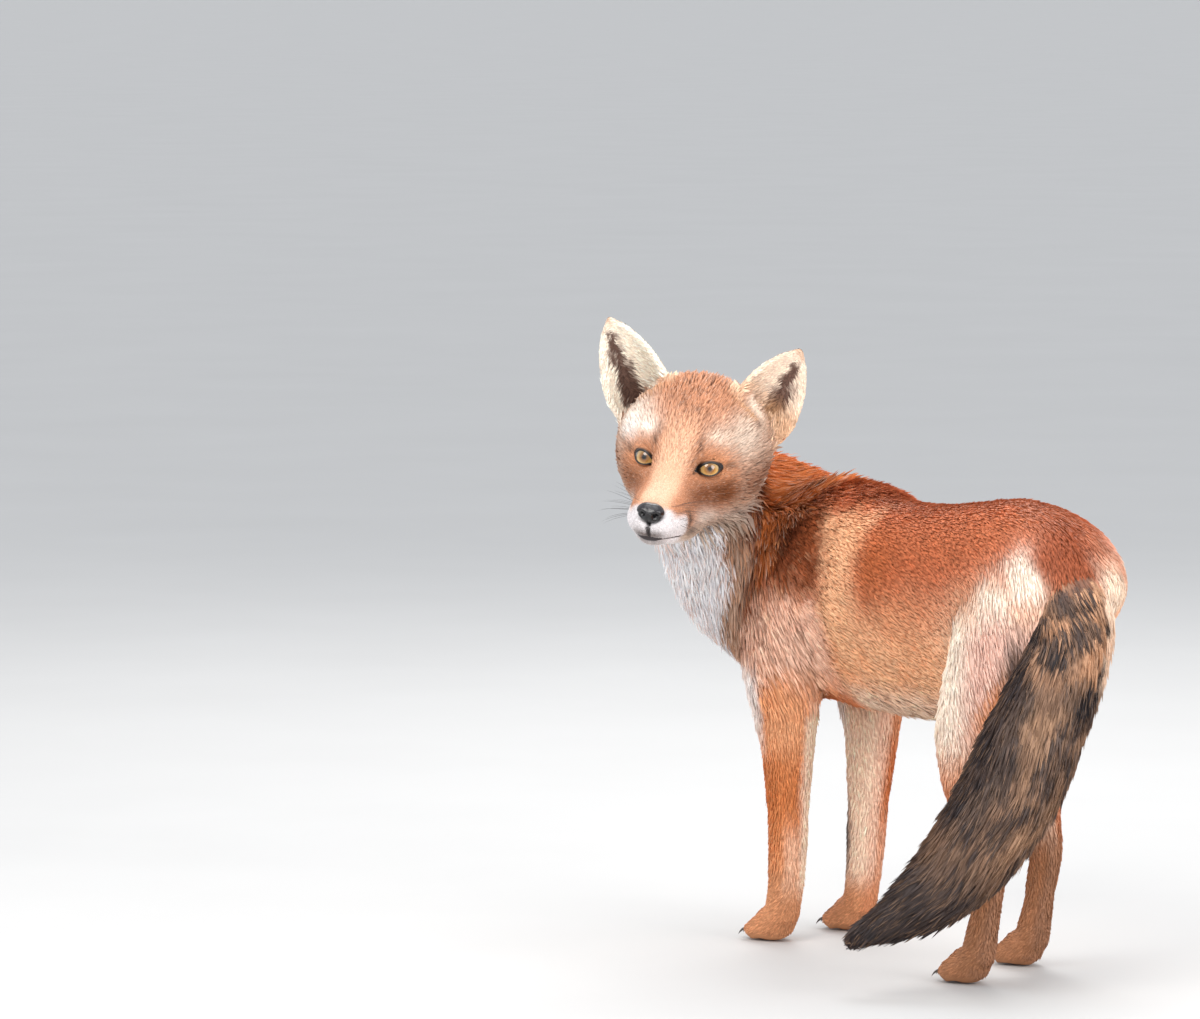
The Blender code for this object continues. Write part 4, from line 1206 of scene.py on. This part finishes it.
def bendTufts(roots, w, place):  # a tuft's root, middle and tip, laid over the skin along the hair's lie
    tufts = len(roots)
    f = fieldsAt(roots, w)
    normal = unit(f[:, 0:3])
    flow = unit(flattened(f[:, 3:6], normal))
    long, up1, up2, mess, fine = f[:, 6:].T
    flow = turned(flow, normal, dice.normal(0, 1, tufts) * coatSettings["turnSpread"] * mess)
    long = long * (1 + coatSettings["lengthSpread"] * dice.uniform(-1, 1, tufts))
    up1 = np.radians(up1 * dice.uniform(0.75, 1.25, tufts))
    up2 = np.radians(up2 + dice.normal(0, 1, tufts) * coatSettings["liftSpread"] * mess)
    reach1 = long * coatSettings["middle"]
    reach2 = long - reach1
    high1 = reach1 * np.sin(up1)
    onto, g = ontoSkin(place + flow * (reach1 * np.cos(up1))[:, None])
    midNormal = unit(g[:, 0:3])
    middle = onto + midNormal * high1[:, None]
    flow = unit(0.6 * flow + 0.4 * g[:, 3:6])
    onto, g = ontoSkin(onto + flow * (reach2 * np.cos(up2))[:, None])
    tip = onto + unit(g[:, 0:3]) * (high1 + reach2 * np.sin(up2))[:, None]
    sound = np.linalg.norm(tip - place, axis=1) < 1.15 * long
    uv = np.einsum("nk,nkc->nc", w, skinUv[roots])
    return [v[sound] for v in (place, middle, tip, normal, midNormal, long, fine, uv, roots)]


def lockCorners(place, middle, tip, normal, long, fine):  # each tuft's locks: root, two sides and tip
    rows, n = len(place), coatSettings["perTuft"]
    across = unit(np.cross(normal, tip - place))
    width = (coatSettings["widthBase"] + coatSettings["widthShare"] * long) * (1 - fine)
    jitter, slide, tipSlide = (coatSettings[key] for key in ("laneJitter", "slide", "tipSlide"))
    lane = np.tile(np.arange(n) - (n - 1) / 2, rows // n) * coatSettings["laneStep"]
    lane = lane + dice.uniform(-jitter, jitter, rows)
    along = dice.uniform(-slide, slide, rows) * long
    spot = place + across * (lane * width)[:, None] + unit(middle - place) * along[:, None]
    middle = middle + across * (lane * width * 0.8)[:, None] + unit(tip - place) * along[:, None]
    fan = lane * width * 0.45 + dice.normal(0, coatSettings["fan"], rows) * width * 2
    tip = tip + across * fan[:, None] + (tip - middle) * dice.uniform(-tipSlide, tipSlide, rows)[:, None]
    tip = tip + normal * (dice.uniform(*coatSettings["tipRise"], rows) * width)[:, None]
    root = spot - normal * coatSettings["rootDepth"]
    half = across * (width / 2)[:, None]
    vertices = np.stack([root, middle + half, middle - half, tip], axis=1)
    vertices[..., 2] = np.maximum(vertices[..., 2], coatSettings["floorGap"])
    return vertices, across


def growCoat(name, starts, tufts):
    place, middle, tip, normal, midNormal, long, fine, uv, roots = bendTufts(*tuftRoots(starts, tufts))
    n, tufts = coatSettings["perTuft"], len(place)
    rows = tufts * n
    place, middle, tip, normal, midNormal, long, fine, uv, kind = [
        np.repeat(v, n, axis=0)
        for v in (place, middle, tip, normal, midNormal, long, fine, uv, groupOfNode[triOwner[roots]])]
    vertices, across = lockCorners(place, middle, tip, normal, long, fine)
    turns = np.array([(0, 2, 1), (1, 2, 3), (0, 1, 3), (0, 3, 2)])
    faces = turns[None] + 4 * np.arange(rows)[:, None, None]
    obj = meshPiece(name, vertices.reshape(-1, 3), faces.reshape(-1, 3), coatMaterials[name])
    bend = across * coatSettings["roundness"]
    shading = np.stack([normal, midNormal + bend, midNormal - bend, midNormal], axis=1)
    sway = dice.normal(0, coatSettings["sway"], (rows, 3))
    paint(obj, "custom_normal", unit(shading + sway[:, None]), "FLOAT_VECTOR")
    size = coatSettings["patch"]
    layout = np.array([(0, -0.5), (-0.5, 0), (0.5, 0), (0, 0.5)]) * size
    spots = np.clip(uv, size, 1 - size)[:, None] + layout[None]
    layer = obj.data.uv_layers.new(name="OFBake")
    layer.data.foreach_set("uv", spots[:, turns.reshape(-1)].astype(np.float32).ravel())
    base = markings(place[::n], normal[::n], kind[::n])
    base = np.repeat(base * (1 + coatSettings["tuftTone"] * dice.normal(0, 1, (tufts, 1))), n, axis=0)
    base = base * (1 + coatSettings["lockTone"] * dice.normal(0, 1, (rows, 1)))
    tips = lockTips(base, kind)
    dim = fine * (1 - ramp(base.mean(axis=1), 0.25, 0.60))  # fine dark hair goes darkest at its roots
    deep = base * (coatSettings["rootShade"] - 0.7 * dim)[:, None]
    body = base * (coatSettings["bodyShade"] - 0.25 * dim)[:, None]
    colours = np.stack([deep, body, body, tips], axis=1)
    paint(obj, "tint", np.clip(colours.reshape(-1, 3), 0.002, 0.95))
    return obj


tipShares = (  # group of nodes, share of its locks, colour of their tips and how much of it
    ("neck", 0.14, "cream", 0.35), ("neck", 0.30, "orange", 0.55), ("trunk", 0.06, "deepRust", 0.40),
    ("tail", 0.14, "tailTan", 0.5), ("head", 0.12, "cream", 0.45), ("head", 0.10, "deepRust", 0.45))


def lockTips(base, kind):
    tips = base * coatSettings["tipShade"]
    for group, share, colour, strength in tipShares:
        these = (kind == groupNames.index(group)) & (dice.random(len(base)) < share)
        tips[these] = tips[these] * (1 - strength) + fur[colour] * strength
    return tips


coatMaterials = {name: furMaterial(name + "Hair", coatFinish["rough"]) for name in coatPieces}
coat = {name: growCoat(name, starts, tufts) for name, (starts, tufts, _) in coatPieces.items()}
print("coat grown:", sum(len(o.data.polygons) for o in coat.values()), "faces")

# Eyelids and eyeballs.
lidSettings = {
    "around": 84, "rim": (0.010, 0.008, 0.008), "shade": 0.85,
    "rows": (  # distance past the opening's edge, height above the surface, share of skin in that surface
        (-0.0008, -0.0011, 0), (-0.0004, -0.0002, 0), (-0.0001, 0.0004, 0), (0.0004, 0.0008, 0),
        (0.0010, 0.0010, 0), (0.0018, 0.0008, 0.2), (0.0026, 0.0004, 0.5), (0.0036, -0.0002, 0.9),
        (0.0050, -0.0006, 1.0), (0.0066, -0.0010, 1.0), (0.0080, -0.0014, 1.0), (0.0078, -0.0030, 1.0),
        (0.0046, -0.0034, 1.0), (0.0010, -0.0016, 0.0)),
}


def skinHeight(flat, word):  # height of the skin over the eye's plane
    turn, centre = eyeTurn[word], eyeCentre[word]
    out = np.zeros(len(flat))
    for k, (a, b) in enumerate(flat):
        start = centre + np.array((a, b, 0.03)) @ turn
        hit = skinTree.ray_cast(Vector(start), Vector(-turn[2]))[0]
        out[k] = (np.array(hit) - centre) @ turn[2] if hit is not None else 0.0
    return out


def makeLid(word):
    around = lidSettings["around"]
    angle = np.linspace(0, 2 * math.pi, around, endpoint=False)
    angle = np.where(angle > math.pi, angle - 2 * math.pi, angle)
    rim = almond(angle)
    tangent = np.roll(rim, -1, axis=0) - np.roll(rim, 1, axis=0)
    outwards = unit(np.stack([tangent[:, 1], -tangent[:, 0]], axis=1))
    outwards *= np.sign(np.sum(outwards * rim, axis=1, keepdims=True))
    headKind = np.full(around, groupNames.index("head"))
    rings, tints = [], []
    for past, high, share in lidSettings["rows"]:
        flat = rim + outwards * past
        ball = ballHeight(flat)
        height = ball * (1 - share) + skinHeight(flat, word) * share + high if share else ball + high
        spots = np.column_stack([flat, height]) @ eyeTurn[word] + eyeCentre[word]
        rings.append(spots)
        nearby = markings(spots, np.tile(eyeTurn[word][2], (around, 1)), headKind) * lidSettings["shade"]
        broad = 0.0004 + 0.0028 * np.cos(angle) ** 6 + 0.0009 * ramp(np.sin(angle), -0.2, 0.5)
        tints.append(mix(np.tile(lidSettings["rim"], (around, 1)), nearby, ramp(past, broad, broad + 0.0016)))
    lid = outward(newPiece("lid_" + word, np.vstack(rings), ringFaces(len(rings), around, closed=True)))
    paint(lid, "tint", np.vstack(tints))
    material, tree = newMaterial("eyelid_" + word, Roughness=0.42, Specular_IOR_Level=0.5)
    point = objectPoint(tree)
    dress(material, Base_Color=shadedTint(tree, noiseAt(tree, point, 500.0) * 0.5 + 0.75),
          Normal=relief(tree, noiseAt(tree, point, 1400.0), 0.0002))
    lid.data.materials.append(material)
    return lid


irisSettings = {
    "pupil": 0.0015, "bulge": 0.0004, "turn": {"left": 0.45, "right": 0.40}, "gaze": (148.0, 4.0),
    "wander": 0.0010, "span": 0.010, "shadow": 75.0,
}
irisColours = {"pupil": (0.004, 0.003, 0.003), "inner": (0.11, 0.040, 0.009), "middle": (0.34, 0.150, 0.030),
               "outer": (0.58, 0.36, 0.13), "edge": (0.08, 0.045, 0.020)}


def eyeballShape(gaze, right, above, rings=40, around=64):  # a unit ball with its pole at the pupil
    vertices = [gaze]
    for r in range(1, rings):
        a = math.pi * r / rings
        for k in range(around):
            t = 2 * math.pi * k / around
            vertices.append(math.cos(a) * gaze + math.sin(a) * (math.cos(t) * right + math.sin(t) * above))
    vertices.append(-gaze)
    last, end = 1 + (rings - 2) * around, len(vertices) - 1
    faces = ringFaces(rings - 1, around, first=1)
    for k in range(around):
        beside = (k + 1) % around
        faces += [(0, 1 + k, 1 + beside), (end, last + beside, last + k)]
    return np.array(vertices), faces


def makeEye(word):
    turn = irisSettings["turn"][word]
    gaze = unit(turn * np.array(directionAt(*irisSettings["gaze"])) + (1 - turn) * eyeTurn[word][2])
    right = unit(np.cross(gaze, (0, 0, 1.0)))
    above = np.cross(right, gaze)
    vertices, faces = eyeballShape(gaze, right, above)
    swell = irisSettings["bulge"] * (1 - ramp(np.arccos(np.clip(vertices @ gaze, -1, 1)), 0.25, 0.75))
    vertices = vertices * (eyeRadius - 0.0001 + swell)[:, None] + eyeCentre[word]
    ball = outward(newPiece("eyeball_" + word, vertices, faces))
    material, tree = newMaterial("amberEye_" + word, Roughness=0.08, Specular_IOR_Level=0.55,
                                 Coat_Weight=1.0, Coat_Roughness=0.02, Coat_IOR=1.45)
    point = objectPoint(tree)
    centre = eyeCentre[word] + gaze * eyeRadius
    away = addNode(tree, "ShaderNodeVectorMath", {"operation": "DISTANCE"}, output=1,
                   n0=point, n1=tuple(centre))
    wavy = away + (noiseAt(tree, point, 900.0, 4.0) - 0.5) * irisSettings["wander"]
    pupil = irisSettings["pupil"] / irisSettings["span"]
    places = (("pupil", 0.0), ("pupil", pupil), ("inner", pupil + 0.04), ("middle", 0.38), ("outer", 0.60),
              ("outer", 0.74), ("edge", 0.84))
    stops = [(place, irisColours[name]) for name, place in places]
    colour = addNode(tree, "ShaderNodeValToRGB", {"stops": stops}, Fac=wavy * (1 / irisSettings["span"]))
    fibres = noiseAt(tree, point, 2600.0, 2.0) * 0.7 + 0.65
    height = addNode(tree, "ShaderNodeVectorMath", {"operation": "DOT_PRODUCT"}, output=1,
                     n0=point, n1=tuple(above))
    shade = (height - float(centre @ above)) * -irisSettings["shadow"] + 0.90  # the lid's shadow from above
    dress(material, Base_Color=shadedTint(tree, fibres * shade, colour))
    ball.data.materials.append(material)
    return ball


lids = {word: makeLid(word) for word, _ in eyeSides}
eyeballs = {word: makeEye(word) for word, _ in eyeSides}
print("eyes set")

# Nose and lips.
noseSettings = {
    "half": (0.0116, 0.0086, 0.0090), "narrow": 0.30, "seat": 0.10,
    "nostril": ((0.0060, -0.0054, -0.0016), (0.0028, 0.0045, 0.0026), 0.0052),  # place, reach, depth
    "slit": ((0.0098, -0.0015, -0.0016), (0.0020, 0.0040, 0.0012), 0.0016),
    "colour": (0.003, 0.0025, 0.003), "sheen": (0.014, 0.011, 0.015), "grain": 1500.0, "grainDepth": 0.00022,
}


def noseForm(ball):  # a ball's points brought to the nose's shape, and how deep in a nostril each one is
    x, y, z = ball.T
    half = np.array(noseSettings["half"])
    narrow = 1 - noseSettings["narrow"] * ramp(-z, 0.1, 0.9)  # narrower below
    top = z - noseSettings["seat"] * (1 - np.abs(x)) * (z > 0)
    q = np.stack([np.sign(x) * np.abs(x) ** 0.92 * narrow, y, top], axis=1) * half
    side = np.column_stack([np.abs(q[:, 0]), q[:, 1:]])
    wing, ahead, height = side[:, 0], -q[:, 1], q[:, 2]
    place, reach, depth = noseSettings["nostril"]
    hole = blob(side, place, reach)
    push = -depth * np.exp(-((-np.log(np.maximum(hole, 1e-300))) ** 1.5))
    place, reach, depth = noseSettings["slit"]
    push -= depth * blob(side, place, reach)
    rim = np.exp(-((wing - 0.0070) / 0.0035) ** 2 - ((height - 0.0022) / 0.0022) ** 2)
    push += 0.0007 * rim * (ahead > 0)
    push -= 0.0009 * np.exp(-(wing / 0.0010) ** 2) * ramp(ahead, 0.001, 0.004) * ramp(-height, -0.002, 0.003)
    push -= 0.0004 * np.exp(-(wing / 0.0024) ** 2) * ramp(height, 0.0, 0.004)
    return q + unit(ball / half) * push[:, None], hole


def makeNose():
    bm = bmesh.new()
    bmesh.ops.create_icosphere(bm, subdivisions=5, radius=1.0)
    shape = bpy.data.meshes.new("noseBall")
    bm.to_mesh(shape)
    bm.free()
    nose = newObject("nose_leather", shape)
    q, hole = noseForm(corners(nose))
    placed = fromHead(q + toHead(noseCentre))
    shape.vertices.foreach_set("co", placed.astype(np.float32).ravel())
    outward(nose)
    # painted sheen: marks the nose's top, away from the nostrils, for a lighter colour
    paint(nose, "top", np.clip(ramp(q[:, 2], -0.001, 0.006) - hole, 0, 1), "FLOAT")
    material, tree = newMaterial("noseLeather", Specular_IOR_Level=0.6)
    point = objectPoint(tree)
    sheenShare = addNode(tree, "ShaderNodeAttribute", {"attribute_name": "top"}, output=2)
    cells = addNode(tree, "ShaderNodeTexVoronoi", Vector=point, Scale=noseSettings["grain"])
    shade = sheenShare * 0.7 + noiseAt(tree, point, 300.0) * 0.3
    # painted sheen: the nose is black below and lighter on its top
    dress(material, Base_Color=blendColours(tree, shade, noseSettings["colour"], noseSettings["sheen"]),
          Roughness=noiseAt(tree, point, 500.0) * 0.12 + 0.13,
          Normal=relief(tree, cells, noseSettings["grainDepth"], 0.35))
    nose.data.materials.append(material)
    return nose


def skinHit(start, direction):
    hit = skinTree.ray_cast(Vector(start), Vector(direction))
    return (np.array(hit[0]), np.array(hit[1])) if hit[0] is not None else (None, None)


def lipPath():
    path = []
    back = np.linspace(mouth["rear"], mouth["front"], 14)
    for side, ys in ((-1, back), (1, back[::-1])):
        part = []
        for y in ys:
            spot, normal = skinHit(fromHead((side * 0.06, y, mouthHeight(y))), -side * headTurn[0])
            if spot is not None:
                part.append((spot, normal))
        path += part
        if side > 0:
            continue
        for a in np.radians(np.linspace(-80, 80, 25)):  # round the front of the muzzle
            d = np.array((math.sin(a), -math.cos(a), 0))
            centre = np.array((0, mouth["front"], mouth["line"]))
            spot, normal = skinHit(fromHead(centre + d * 0.06), -(d @ headTurn))
            if spot is not None:
                path.append((spot, normal))
    return np.array([p for p, _ in path]), np.array([n for _, n in path])


def makeLips():
    path, normal = lipPath()
    for _ in range(3):
        path[1:-1] = (path[:-2] + 2 * path[1:-1] + path[2:]) / 4
    steps = len(path)
    along = unit(np.gradient(path, axis=0))
    side = unit(np.cross(along, normal))
    t = np.linspace(-1, 1, steps)
    radius = mouth["frontRadius"] + (mouth["radius"] - mouth["frontRadius"]) * ramp(np.abs(t), 0.06, 0.34)
    radius = radius * (0.35 + 0.65 * (1 - ramp(np.abs(t), 0.75, 1.0)))
    around = 10
    rings = []
    for k in range(around):
        a = 2 * math.pi * k / around
        bead = math.cos(a) * side + math.sin(a) * normal * 0.7
        rings.append(path + bead * radius[:, None] - normal * 0.0002)
    vertices = np.array(rings).transpose(1, 0, 2).reshape(-1, 3)
    ends = [range(around), range((steps - 1) * around, steps * around)]
    lips = outward(newPiece("lips", vertices, ringFaces(steps, around) + ends))
    material, tree = newMaterial("lipLeather", Specular_IOR_Level=0.5)
    point = objectPoint(tree)
    dress(material, Base_Color=blendColours(tree, noiseAt(tree, point, 260.0), mouth["dark"], mouth["light"]),
          Roughness=noiseAt(tree, point, 420.0) * 0.2 + 0.38,
          Normal=relief(tree, noiseAt(tree, point, 1200.0), 0.0002))
    lips.data.materials.append(material)
    return lips


nose = makeNose()
lips = makeLips()
print("nose and lips made")

# Claws and whiskers: one tree of bristles.
clawSettings = {
    "length": 0.0125, "radius": 0.0017, "bow": 0.22, "spread": 0.06, "seed": 3, "apart": 0.0090,
    "finish": "clawHorn", "dark": (0.030, 0.022, 0.018), "light": (0.11, 0.080, 0.060), "rough": 0.34,
}
whiskerSettings = {
    "length": 0.038, "radius": 0.00017, "bow": 0.16, "spread": 0.35, "seed": 7,
    "finish": "whiskerHair", "dark": (0.012, 0.010, 0.010), "light": (0.050, 0.040, 0.036), "rough": 0.40,
}


def bristleTree(name):
    tree = bpy.data.node_groups.new(name, "GeometryNodeTree")
    face = tree.interface
    face.new_socket("Roots", in_out="INPUT", socket_type="NodeSocketGeometry")
    for label in ("Length", "Root radius", "Bow", "Length spread"):
        face.new_socket(label, in_out="INPUT", socket_type="NodeSocketFloat")
    face.new_socket("Seed", in_out="INPUT", socket_type="NodeSocketInt")
    face.new_socket("Finish", in_out="INPUT", socket_type="NodeSocketMaterial")
    face.new_socket("Bristles", in_out="OUTPUT", socket_type="NodeSocketGeometry")
    start, end = tree.nodes.new("NodeGroupInput"), tree.nodes.new("NodeGroupOutput")
    roots, length, radius, bow, spread, seed, finish = (
        Wire(tree, socket) for socket in start.outputs if socket.name)

    # one bristle, a metre long, thinning to its tip
    middle = addNode(tree, "ShaderNodeCombineXYZ", X=bow, Z=0.5)
    stem = addNode(tree, "GeometryNodeCurveQuadraticBezier", Resolution=10, Start=(0, 0, 0), Middle=middle,
                   End=(0, 0, 1))
    share = addNode(tree, "GeometryNodeSplineParameter")
    ring = addNode(tree, "GeometryNodeCurvePrimitiveCircle", Resolution=7, Radius=1.0)
    taper = (1.02 - share) ** 0.8 * (radius / length)
    body = addNode(tree, "GeometryNodeCurveToMesh", Curve=stem, Scale=taper,
                   **{"Profile Curve": ring, "Fill Caps": True})

    # stood on every root along its aim, bowed towards its bend
    aim = addNode(tree, "GeometryNodeInputNamedAttribute", {"data_type": "FLOAT_VECTOR"}, Name="aim")
    bend = addNode(tree, "GeometryNodeInputNamedAttribute", {"data_type": "FLOAT_VECTOR"}, Name="bend")
    upright = addNode(tree, "FunctionNodeAlignRotationToVector", {"axis": "Z"}, Vector=aim)
    rolled = addNode(tree, "FunctionNodeAlignRotationToVector", {"axis": "X", "pivot_axis": "Z"},
                     Rotation=upright, Vector=bend)
    drawn = addNode(tree, "FunctionNodeRandomValue", {"data_type": "FLOAT"}, output=1,
                    n2=1.0 - spread, n3=1.0, Seed=seed)
    placed = addNode(tree, "GeometryNodeInstanceOnPoints", Points=roots, Instance=body, Rotation=rolled,
                     Scale=drawn * length)
    whole = addNode(tree, "GeometryNodeRealizeInstances", Geometry=placed)
    dressed = addNode(tree, "GeometryNodeSetMaterial", Geometry=whole, Material=finish)
    plug(tree, end.inputs["Bristles"], dressed)
    return tree


bristles = bristleTree("bristleMaker")


def growBristles(name, settings, roots, aims, bends):
    obj = newPiece(name, roots)
    paint(obj, "aim", aims, "FLOAT_VECTOR")
    paint(obj, "bend", bends, "FLOAT_VECTOR")
    modifier = obj.modifiers.new("bristles", "NODES")
    modifier.node_group = bristles
    values = {"Length": settings["length"], "Root radius": settings["radius"], "Bow": settings["bow"],
              "Length spread": settings["spread"], "Seed": settings["seed"], "Finish": hornMaterial(settings)}
    for item in bristles.interface.items_tree:
        if item.in_out == "INPUT" and item.name in values:
            modifier[item.identifier] = values[item.name]
    applied(obj)
    for label in ("aim", "bend"):
        if label in obj.data.attributes:
            obj.data.attributes.remove(obj.data.attributes[label])
    return outward(obj)


def hornMaterial(settings):
    material, tree = newMaterial(settings["finish"], Specular_IOR_Level=0.5)
    point = objectPoint(tree)
    dress(material,
          Base_Color=blendColours(tree, noiseAt(tree, point, 350.0), settings["dark"], settings["light"]),
          Roughness=noiseAt(tree, point, 200.0) * 0.15 + settings["rough"])
    return material


def clawRoots():
    roots, aims = [], []
    for name in nodeNames:
        if name.endswith("paw"):
            low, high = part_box(name)
            for k in (-1.5, -0.5, 0.5, 1.5):
                back = 0.0105 + (0.0065 if abs(k) > 1 else 0)
                across = (low[0] + high[0]) / 2 + k * clawSettings["apart"]
                roots.append((across, low[1] + back, 0.0092))
                aims.append(unit(np.array((k * 0.06, -1.0, -0.60))))
    return roots, aims, [(0, -0.3, 1.0)] * len(roots)


def whiskerRoots():
    roots, aims, bends = [], [], []
    for side in (-1, 1):
        for row in range(4):
            for step in range(4 if row < 2 else 3):
                y = -0.062 - 0.0055 * step + 0.002 * (row % 2)
                z = -0.024 - 0.0052 * row
                spot, normal = skinHit(fromHead((side * 0.05, y, z)), -side * headTurn[0])
                if spot is None:
                    continue
                lean = np.array((side * (0.70 + 0.05 * step), 0.62 - 0.10 * step, 0.10 - 0.16 * row))
                roots.append(spot - normal * 0.0004)
                aims.append(unit(lean + dice.normal(0, 0.05, 3)) @ headTurn)
                bends.append(unit(np.array((side * 0.2, -0.9, 0.5))) @ headTurn)
    return roots, aims, bends


claws = growBristles("claws", clawSettings, *clawRoots())
whiskers = growBristles("whiskers", whiskerSettings, *whiskerRoots())
print("claws and whiskers grown:", len(claws.data.polygons), len(whiskers.data.polygons))


# Floor and hand-over to the frame.
def makeFloor():
    half = viewSettings["floorSize"] / 2
    ground = [(x, y, 0) for x, y in ((-half, -half), (half, -half), (half, half), (-half, half))]
    floor = newPiece("floor", ground, [(0, 1, 2, 3)])
    material, tree = newMaterial("paleFloor", Roughness=0.75)
    cloudy = noiseAt(tree, objectPoint(tree), 3.0)
    colour = blendColours(tree, cloudy, viewSettings["floorDark"], viewSettings["floorLight"])
    dress(material, Base_Color=colour)
    floor.data.materials.append(material)
    return floor


makeFloor()
keptApart = {"nose": nose, "eye_left": eyeballs["left"], "eye_right": eyeballs["right"]}
for node, piece in keptApart.items():
    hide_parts(node)
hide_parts(*[n for n in nodeNames if n not in keptApart])
for piece in (skin, nose, lips, claws, whiskers, *lids.values(), *eyeballs.values(), *coat.values()):
    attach(piece, "root")
